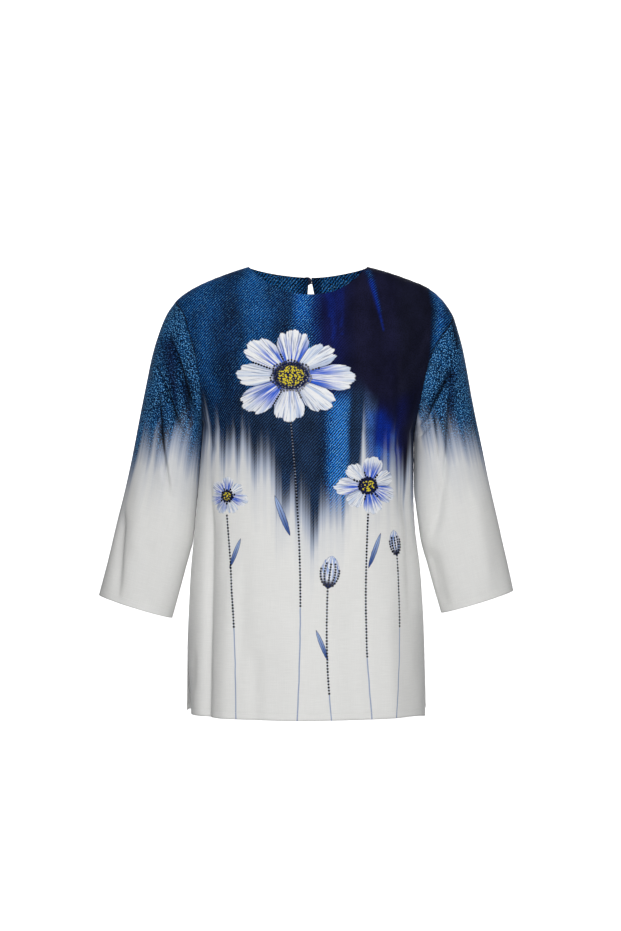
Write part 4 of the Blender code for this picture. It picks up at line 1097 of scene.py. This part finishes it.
# The sleeve's own seam lies along the underarm, so u is counted from the outer fold both ways, and each sleeve
# has its own stretch of u
def makeSleeve(side):
    arm, turnLength = sleeves[side], sleeve["turnLength"]
    rows, columns = arm["u"].shape
    index = np.arange(rows * columns).reshape(rows, columns)
    quads, u, v = (cells(np.concatenate([grid, last], axis=1)) for grid, last in (
        (index, index[:, :1]), (arm["u"], np.full((rows, 1), turnLength)), (arm["v"], arm["v"][:, :1])))
    backHalf = (np.arange(len(quads)) % columns) >= body["upperRows"]
    u = u - turnLength * backHalf[:, None] + sleeve["startOfU"][side]
    ink, gap = armPrint(side, arm)
    # seamGap sets the painted shade along the armhole seam; the crease fields set the painted crease shade
    fields = {
        "ink": ink, "fadeGap": gap, "hemStep": arm["v"][-1:] - arm["v"] - sleeve["hemDepth"],
        "seamGap": arm["toSeam"], "creaseSide": arm["creaseSide"], "paintedCreaseShade": arm["paintedCreaseShade"]}
    points, outward, corners = arm["grid"].reshape(-1, 3), arm["normal"].reshape(-1, 3), np.stack([u, v], axis=2)
    node = ("sleeve_right", "sleeve_left")[side]
    return clothPiece(
        ("sleeveRight", "sleeveLeft")[side], node, points, quads, corners, fields, outward, materials["sleeve"])


# Stitches along hems, cuffs and slits: small tubes with rounded ends
stitches = {
    "length": 2.3, "pitch": 3.1, "thick": 0.34, "rise": 0.162, "dip": 0.30, "sides": 6, "inFromSlit": 8.0,
    "turnAbove": 6.0, "slitAbove": 4.0, "slitColumns": 14, "slitSteps": 120, "hemEnd": 2.2, "hemSteps": 600,
    "cuffSteps": 700, "lastShare": 0.7,
    "rounding": ((-1.0, 0.45), (-0.72, 0.9), (0.0, 1.0), (0.72, 0.9), (1.0, 0.45)),
    "light": (234, 234, 232), "dark": (206, 206, 204), "twistScale": 5200.0,
}
shells = {face: makePanel(face) for face in panels}
shells.update(right=makeSleeve(leftSide), left=makeSleeve(rightSide))
print("blouse: cloth pieces made")


# A field read between the four grid points round a fractional row and column
def readGrid(field, row, column):
    row = np.clip(row, 0, field.shape[0] - 1.001)
    column = np.clip(column, 0, field.shape[1] - 1.001)
    i, j = row.astype(int), column.astype(int)
    a, b = row - i, column - j
    if field.ndim == 3:
        a, b = a[:, None], b[:, None]
    near, far = (field[i, k] * (1 - a) + field[i + 1, k] * a for k in (j, j + 1))
    return near * (1 - b) + far * b


search = {"rounds": 40, "longest": 12.0, "startRow": 0.45, "startColumn": 0.5, "edge": 1.01, "near": 0.5}


# Row and column of each (u, v), by Newton steps on the panel's two measures
def findPlaces(panel, u, v):
    fields = panel["u"], panel["v"]
    slopes = [slope for field in fields for slope in np.gradient(field)]
    rows, columns = panel["u"].shape
    row, column = np.full(len(u), rows * search["startRow"]), np.full(len(u), columns * search["startColumn"])
    edge, longest = search["edge"], search["longest"]
    for _ in range(search["rounds"]):
        du, dv = (wanted - readGrid(field, row, column) for wanted, field in zip((u, v), fields))
        a, b, c, d = (readGrid(slope, row, column) for slope in slopes)
        size = a * d - b * c
        row = np.clip(row + np.clip((du * d - dv * b) / size, -longest, longest), 0, rows - edge)
        column = np.clip(column + np.clip((dv * a - du * c) / size, -longest, longest), 0, columns - edge)
    return row, column


# Place in metres and true outward direction of the folded cloth at fractional rows and columns
def frameAt(sheet, row, column):
    world = toWorld(sheet["grid"])
    down, across = (readGrid(np.gradient(world, axis=k), row, column) for k in (0, 1))
    out = np.cross(across, down)
    out *= np.sign(np.sum(out * readGrid(sheet["normal"] * [1, 1, -1], row, column), axis=1, keepdims=True))
    return readGrid(world, row, column), unit(out)


# Copies of one small shape, each set by its place, its long direction and its outward direction
def scatter(name, shape, faces, place, along, out, scale, material, slot):
    along = unit(along - out * np.sum(along * out, axis=1, keepdims=True))
    axes = np.stack([along, np.cross(out, along), out], axis=1) * (scale * 0.001)[:, None, None]
    points = place[:, None] + shape @ axes
    every = [tuple(int(k) + i * len(shape) for k in face) for i in range(len(place)) for face in faces]
    return addPiece(makeMesh(name, points.reshape(-1, 3), every), material)


# Rings of points joined to a tube with a cap at either end
def tubeFaces(rings, count, start=0):
    faces = [
        (k + i, k + (i + 1) % count, k + count + (i + 1) % count, k + count + i)
        for k in range(start, start + (rings - 1) * count, count) for i in range(count)]
    last = start + (rings - 1) * count
    return faces + [tuple(range(start, start + count))[::-1], tuple(range(last, last + count))]


# A turned profile closed at both ends: radius and height pairs, carried round in flat steps
def turned(profile, steps):
    angle = np.arange(steps) * 2 * np.pi / steps
    rings = [(r * math.cos(a), r * math.sin(a), h) for r, h in profile for a in angle]
    return np.array(rings), tubeFaces(len(profile), steps)


# A stitch is a tube whose ends dip into the cloth: its middle line is at height rise - dip * s^2
def stitchShape():
    s, thick, sides = stitches, stitches["thick"] / 2, stitches["sides"]
    rings = [
        (share * s["length"] / 2, thick * k * math.cos(a),
         thick * k * math.sin(a) + s["rise"] - s["dip"] * share ** 2)
        for share, k in s["rounding"] for a in np.arange(sides) * 2 * np.pi / sides]
    return np.array(rings), [face[::-1] for face in tubeFaces(len(s["rounding"]), sides)]


# Sewing thread: noise as its twist, which sets tone, roughness and bump
def threadMaterial():
    material, b, looks = startMaterial("hemThread")
    twist = b.noise(b.objectPlace(stitches["twistScale"]), 1.0)
    b.fill(looks, {
        "Base Color": b.blend(b.ease(twist, 0.3, 0.7), shown(*stitches["dark"]), shown(*stitches["light"])),
        "Roughness": twist * 0.2 + 0.45, "Normal": b.dent(twist, 0.5, 0.0001)})
    return material


# Evenly spaced places along a line of rows and columns
def alongLine(sheet, row, column):
    points, pitch = readGrid(sheet["grid"], row, column), stitches["pitch"]
    run = runLengths(points[:, None], 0)[:, 0]
    wanted = np.arange(pitch, run[-1] - pitch * stitches["lastShare"], pitch)
    place, out = frameAt(sheet, np.interp(wanted, run, row), np.interp(wanted, run, column))
    return place, np.gradient(place, axis=0), out


# Row at which the stitch line of a hem runs, for each column, from the height of the last rows
def hemRow(sheet, depth, last=5):
    v = sheet["v"]
    return len(v) - 1 - depth / ((v[-1] - v[-1 - last]) / last)


def stitchLines():
    lines, near = [], stitches["slitColumns"]
    for panel in panels.values():
        rows, columns = panel["u"].shape
        low = hemRow(panel, body["hemDepth"])
        column = np.linspace(stitches["hemEnd"], columns - 1 - stitches["hemEnd"], stitches["hemSteps"])
        lines.append((panel, np.interp(column, np.arange(columns), low), column))
        first = int(np.argmax(panel["v"][:, 0] > body["slitTop"] - stitches["slitAbove"]))
        row = np.linspace(first, low[0], stitches["slitSteps"])
        for edge, inner in ((0, 1), (columns - 1, -1)):
            # the column that lies the stitches' distance in from the slit's edge, row by row
            aside = panel["toSide"][:, edge::inner][:, :near]
            inset = np.array([np.interp(stitches["inFromSlit"], one, np.arange(near)) for one in aside])
            lines.append((panel, row, edge + inner * np.interp(row, np.arange(rows), inset)))
    for arm in sleeves:
        columns = arm["u"].shape[1]
        column = np.linspace(0, columns - search["edge"], stitches["cuffSteps"])
        lines.append((arm, np.interp(column, np.arange(columns), hemRow(arm, sleeve["hemDepth"])), column))
    return lines


materials["thread"] = threadMaterial()
place, ahead, out = (np.concatenate(part) for part in zip(*(alongLine(*line) for line in stitchLines())))
hemStitches = scatter(
    "hemStitches", *stitchShape(), place, ahead, out, np.ones(len(place)), materials["thread"], "printed_cloth")
hemStitches.data.shade_smooth()
print("blouse:", len(place), "stitches")

# Small faceted stones along the stems, round the blossoms' middles and on the buds.
# "lanes" are a bud's lines of stones: distance aside as a share of its half width, then where they start and end.
# Rings and rays are shares of a blossom's radius; "rayEnds" are for even and odd petals
stones = {
    "radius": 1.8, "foot": -0.1, "girdle": 0.22, "height": 1.0, "table": 0.55, "facets": 7,
    "pitch": 4.7, "centrePitch": 4.6, "budPitch": 4.0, "light": (10, 16, 42), "dark": (3, 4, 12), "luckScale": 260.0,
    "rings": {True: (0.235, 0.30), False: (0.27,)}, "bigBlossom": 60.0, "ringTurn": 9.0,
    "ringWave": 0.02, "ringWaves": 7, "rayStart": 0.36, "rayEnds": {True: (0.50, 0.66), False: (0.46, 0.46)},
    "sizes": (0.92, 0.16),
    "lanes": ((0.0, 0.1, 0.75), (0.55, 0.12, 0.8), (-0.55, 0.12, 0.8), (0.95, 0.1, 0.6), (-0.95, 0.1, 0.6)),
}


# Dark glass: noise over the whole piece gives each stone its own tone and polish
def stoneMaterial():
    material, b, looks = startMaterial("darkStone")
    luck = b.noise(b.objectPlace(stones["luckScale"]), 0.0)
    b.fill(looks, {
        "Base Color": b.blend(b.ease(luck, 0.35, 0.7), shown(*stones["dark"]), shown(*stones["light"])),
        "Roughness": luck * 0.16 + 0.1, "Specular IOR Level": 0.3, "Coat Weight": 0.06})
    return material


# Down each stem, on the line that its paint follows
def stemStones(item):
    (topU, topV), low = item["top"], body["length"]
    share = np.arange(0.006, item["stones"], stones["pitch"] / (low - topV))
    u = topU + (item["foot"] - topU) * share + item["sway"] * np.sin(np.pi * share)
    return [np.stack([u, topV + share * (low - topV)], axis=1)]


# One ring or two round a blossom's middle, and lines out between some of its petals
def blossomStones(item):
    radius, (atU, atV), spots = item["radius"], item["at"], []
    big = radius > stones["bigBlossom"]

    def at(angle, r):
        return np.stack([atU + radius * r * np.cos(angle), atV + radius * item["flat"] * r * np.sin(angle)], axis=1)

    for r in stones["rings"][big]:
        count = int(2 * np.pi * r * radius / stones["centrePitch"])
        angle = np.arange(count) * 2 * np.pi / count + r * stones["ringTurn"]
        spots.append(at(angle, r + stones["ringWave"] * np.sin(angle * stones["ringWaves"])))
    for k in range(item["petals"]):
        if k % 3 != 1:
            r = np.arange(stones["rayStart"], stones["rayEnds"][big][k % 2], stones["pitch"] / radius)
            spots.append(at(np.full(len(r), 2 * np.pi * k / item["petals"] - item["turn"]), r))
    return spots


# Down the middle and along both sides of a bud
def budStones(item):
    spots, foot, run = [], np.array(item["foot"]), np.array(item["run"])
    length = np.hypot(*run)
    side = np.array([run[1], -run[0]]) / length
    for lane, low, high in stones["lanes"]:
        share = np.arange(low, high, stones["budPitch"] / length)
        half = item["width"] * (4 * share * (1 - share)) ** 0.7
        spots.append(foot + run * share[:, None] + side * (lane * half)[:, None])
    return spots


makers = {"stems": stemStones, "blossoms": blossomStones, "buds": budStones}
spots = np.concatenate([spot for key, maker in makers.items() for item in painting[key] for spot in maker(item)])
front = panels["front"]
row, column = findPlaces(front, *spots.T)
missed = np.hypot(readGrid(front["u"], row, column) - spots[:, 0], readGrid(front["v"], row, column) - spots[:, 1])
found = missed < search["near"]
place, out = frameAt(front, row[found], column[found])
radius = stones["radius"]
facets = [(radius, stones["foot"]), (radius, stones["girdle"]), (radius * stones["table"], stones["height"])]
spin = np.random.default_rng(5).random(len(place)) * 2 * np.pi
facing = np.stack([np.cos(spin), np.zeros(len(place)), np.sin(spin)], axis=1)
least, more = stones["sizes"]
size = least + more * np.random.default_rng(6).random(len(place))
materials["stone"] = stoneMaterial()
frontStones = scatter(
    "frontStones", *turned(facets, stones["facets"]), place, facing, out, size, materials["stone"], "dark_trim")
print("blouse:", len(place), "stones of", len(spots))

# Button and loop at the keyhole; the button's rim is a roll of two radii under a dome
fastening = {
    "drop": 19.0, "seatGap": 0.4, "shankInset": 0.2, "buttonRadius": 7.5, "buttonThick": 2.6, "rollHigh": 1.2,
    "rollWide": 0.5, "shankRadius": 1.5, "shankLength": 2.6, "shankFoot": (0.8, 0.3), "shankFlare": (0.5, 0.2),
    "buttonSteps": 36, "domeTurn": 1.45, "domeSteps": 9, "rollSteps": 5,
    "cordRadius": 1.1, "loopFoot": 9.0, "strands": 3, "strandTurn": 3.4, "footSink": 0.7, "cordSteps": 150,
    "strandSides": 8, "buttonTones": ((30, 40, 84), (10, 14, 38)), "cordTones": ((34, 44, 92), (12, 16, 42)),
}


# Sets a mesh beside the slot: its centre is on the back panel's outer face, its axes run across, up and outward
def placeMesh(name, local, faces, material, node):
    drop, rise = fastening["drop"], 4.0
    depth = [float(readTable(body["profile"], "back", d)) for d in (drop - rise, drop, drop + rise)]
    up = unit(np.array([0.0, depth[0] - depth[2], 2 * rise]))
    across = np.array([1.0, 0.0, 0.0])
    out = np.cross(across, up)
    out *= np.sign(out[1])
    centre = np.array([0.0, depth[1], body["originDrop"] - drop])
    mesh = makeMesh(name, (centre + local @ np.stack([across, up, out])) * 0.001, faces)
    mesh.shade_smooth()
    return addPiece(mesh, material, node)


# Covered trim: ribs |sin(x + z)| of the cover's threads, worn by noise
def trimMaterial(name, tones, scale, rough):
    material, b, looks = startMaterial(name)
    x, _, z = b.split(b.objectPlace(scale))
    wear = b.noise(b.spot(x, z), 2.0)
    thread = abs(b.sine(x + z)) * (wear * 0.6 + 0.6)
    b.fill(looks, {
        "Base Color": b.blend(thread, shown(*tones[1]), shown(*tones[0])), "Roughness": wear * 0.2 + rough,
        "Normal": b.dent(thread, 0.5, 0.0002), "Sheen Weight": 0.2})
    return material


def shankX():
    return keyhole["centre"] - keyhole["topHalf"] - fastening["shankRadius"] - fastening["shankInset"]


# Cloth-covered button: a turned profile with a domed head, a rolled rim and a shank
def makeButton():
    f = fastening
    seat, shank, rim, high, wide = f["seatGap"], f["shankRadius"], f["buttonRadius"], f["rollHigh"], f["rollWide"]
    head = seat + f["shankLength"]
    dome = [
        (rim * math.cos(a), head + high + (f["buttonThick"] - high) * math.sin(a))
        for a in np.linspace(0, f["domeTurn"], f["domeSteps"])]
    roll = [
        (rim - wide + wide * math.cos(a), head + high / 2 + high / 2 * math.sin(a))
        for a in np.linspace(-np.pi / 2, 0, f["rollSteps"])]
    (share, bevel), (flare, below) = f["shankFoot"], f["shankFlare"]
    stem = [(shank * share, seat), (shank, seat + bevel), (shank, head - below), (shank + flare, head)]
    points, faces = turned(stem + roll + dome[1:], f["buttonSteps"])
    return placeMesh("keyholeButton", points + [shankX(), 0.0, 0.0], faces, materials["button"], "keyhole_button")


# Twisted cord: strands wound round the loop's middle line, each a tube at a turning angle
def makeLoop():
    f, cord, count = fastening, fastening["cordRadius"], fastening["strandSides"]
    half, high = f["shankRadius"] + cord + f["seatGap"], cord + f["seatGap"]
    foot = keyhole["centre"] + keyhole["topHalf"] + f["loopFoot"]
    turn = np.linspace(-np.pi / 2, np.pi / 2, 25)
    bend = np.stack([shankX() - half * np.cos(turn), half * np.sin(turn)], axis=1)
    route = np.concatenate([[(foot, -half)], bend, [(foot, half)]])
    run = np.concatenate([[0.0], np.cumsum(np.linalg.norm(np.diff(route, axis=0), axis=1))])
    s = np.linspace(0, run[-1], f["cordSteps"])
    sink = 1 - easeStep(np.minimum(s, run[-1] - s) / 3.0)
    line = np.stack([*(np.interp(s, run, part) for part in route.T), high - f["footSink"] * sink], axis=1)
    ahead = unit(np.gradient(line, axis=0))
    side = unit(np.cross([0.0, 0.0, 1.0], ahead))
    upward = np.cross(ahead, side)
    points, faces, thick = [], [], cord / 2

    # points of a circle round the cord's direction at the given angles
    def circle(angle, radius):
        return radius * (side[:, None] * np.cos(angle)[..., None] + upward[:, None] * np.sin(angle)[..., None])

    for k in range(f["strands"]):
        phase = 2 * np.pi * (s / f["strandTurn"] + k / f["strands"])
        middle = line[:, None] + circle(phase[:, None], cord - thick)
        points.append((middle + circle((np.arange(count) * 2 * np.pi / count)[None], thick)).reshape(-1, 3))
        faces += tubeFaces(len(s), count, k * len(s) * count)
    return placeMesh("keyholeLoop", np.concatenate(points), faces, materials["cord"], "keyhole_loop")


materials["button"] = trimMaterial("navyButtonCloth", fastening["buttonTones"], 9000.0, 0.5)
materials["cord"] = trimMaterial("navyLoopCord", fastening["cordTones"], 14000.0, 0.55)
makeButton()
loop = makeLoop()
print("blouse: button and loop made")

# Camera, lights and floor in metres; each light is a square turned to the aim: place, size, watts
studio = {
    "cameraAt": (0.0039, -3.2, -0.288), "lens": 78.46, "worldLight": 0.10, "aim": (0.0, 0.0, -0.3),
    "lights": {
        "keyLight": ((-0.12, -3.4, 0.9), 1.0, 62.0), "fillLight": ((0.5, -3.4, -0.4), 1.2, 24.0),
        "topLight": ((0.2, -0.8, 2.2), 1.4, 14.0), "backLight": ((0.6, 3.2, 0.8), 2.0, 22.0)},
    "floorAt": -2.2, "floorHalf": 5.0, "floorFrom": -14.0, "floorFlatTo": 3.0, "bendAt": 4.0, "bendRadius": 2.0,
    "wallTop": 4.0, "floorGlow": 0.42, "wallFrom": 1.8, "wallFull": 3.0,
}


def makeCamera():
    data = bpy.data.cameras.new("photoCamera")
    data.lens = studio["lens"]
    data.sensor_width = 36.0
    data.clip_end = 60.0
    data.dof.use_dof = False
    camera = bpy.data.objects.new("photoCamera", data)
    camera.location = studio["cameraAt"]
    camera.rotation_euler = (math.pi / 2, 0.0, 0.0)
    bpy.context.scene.collection.objects.link(camera)
    bpy.context.scene.camera = camera


def softLight(name, place, size, power):
    data = bpy.data.lights.new(name, "AREA")
    data.shape = "SQUARE"
    data.size = size
    data.energy = power
    light = bpy.data.objects.new(name, data)
    light.location = place
    x, y, z = (a - b for a, b in zip(studio["aim"], place))
    light.rotation_euler = (math.pi / 2 + math.atan2(z, math.hypot(x, y)), 0.0, math.atan2(y, x) - math.pi / 2)
    bpy.context.scene.collection.objects.link(light)


# The floor is matt and glows: strongly from wallFrom to wallFull behind the blouse, and faintly before it where the
# camera sees it
def floorMaterial():
    material, b, looks = startMaterial("paleFloor")
    behind = b.split(b.objectPlace(1.0))[1]
    glow = studio["floorGlow"]
    pale = b.blend(b.read("ShaderNodeLightPath", "Is Camera Ray"), (0.0, 0.0, 0.0, 1.0), (glow, glow, glow, 1.0))
    lit = b.blend(b.ease(behind, studio["wallFrom"], studio["wallFull"]), pale, (1.0, 1.0, 1.0, 1.0))
    b.fill(looks, {
        "Base Color": (0.86, 0.86, 0.86, 1.0), "Roughness": 0.9, "Emission Color": lit, "Emission Strength": 1.0})
    return material


# The floor runs back and rises into the wall on a quarter circle
def makeFloor():
    low, far, radius, wide = studio["floorAt"], studio["bendAt"], studio["bendRadius"], studio["floorHalf"]
    bend = [(far + radius * math.sin(a), low + radius - radius * math.cos(a)) for a in np.linspace(0, np.pi / 2, 24)]
    line = [(studio["floorFrom"], low), (studio["floorFlatTo"], low)] + bend + [(far + radius, studio["wallTop"])]
    points = np.array([(x, y, z) for y, z in line for x in (-wide, wide)])
    mesh = makeMesh("paleFloor", points, [(i, i + 1, i + 3, i + 2) for i in range(0, 2 * len(line) - 2, 2)])
    mesh.materials.append(floorMaterial())
    mesh.shade_smooth()
    floor = bpy.data.objects.new("paleFloor", mesh)
    bpy.context.scene.collection.objects.link(floor)


# The world lights softly, and shows pale where the camera sees past the floor
def makeWorld():
    world = bpy.data.worlds.new("softWorld")
    world.use_nodes = True
    b, nodes = NodeBench(world.node_tree), world.node_tree.nodes
    b.fill(nodes["Background"].inputs, {"Color": (1.0, 1.0, 1.0, 1.0), "Strength": studio["worldLight"]})
    seen = b.read("ShaderNodeBackground", 0, {"Strength": 1.0})
    ray = b.read("ShaderNodeLightPath", "Is Camera Ray")
    mix = b.read("ShaderNodeMixShader", 0, {0: ray, 1: Flow(b, nodes["Background"].outputs[0]), 2: seen})
    b.fill(nodes["World Output"].inputs, {"Surface": mix})
    bpy.context.scene.world = world


makeCamera()
makeFloor()
makeWorld()
for name, light in studio["lights"].items():
    softLight(name, *light)
view = bpy.context.scene.view_settings
view.view_transform, view.look, view.exposure = "Standard", "None", 0.0
print("blouse: studio made")
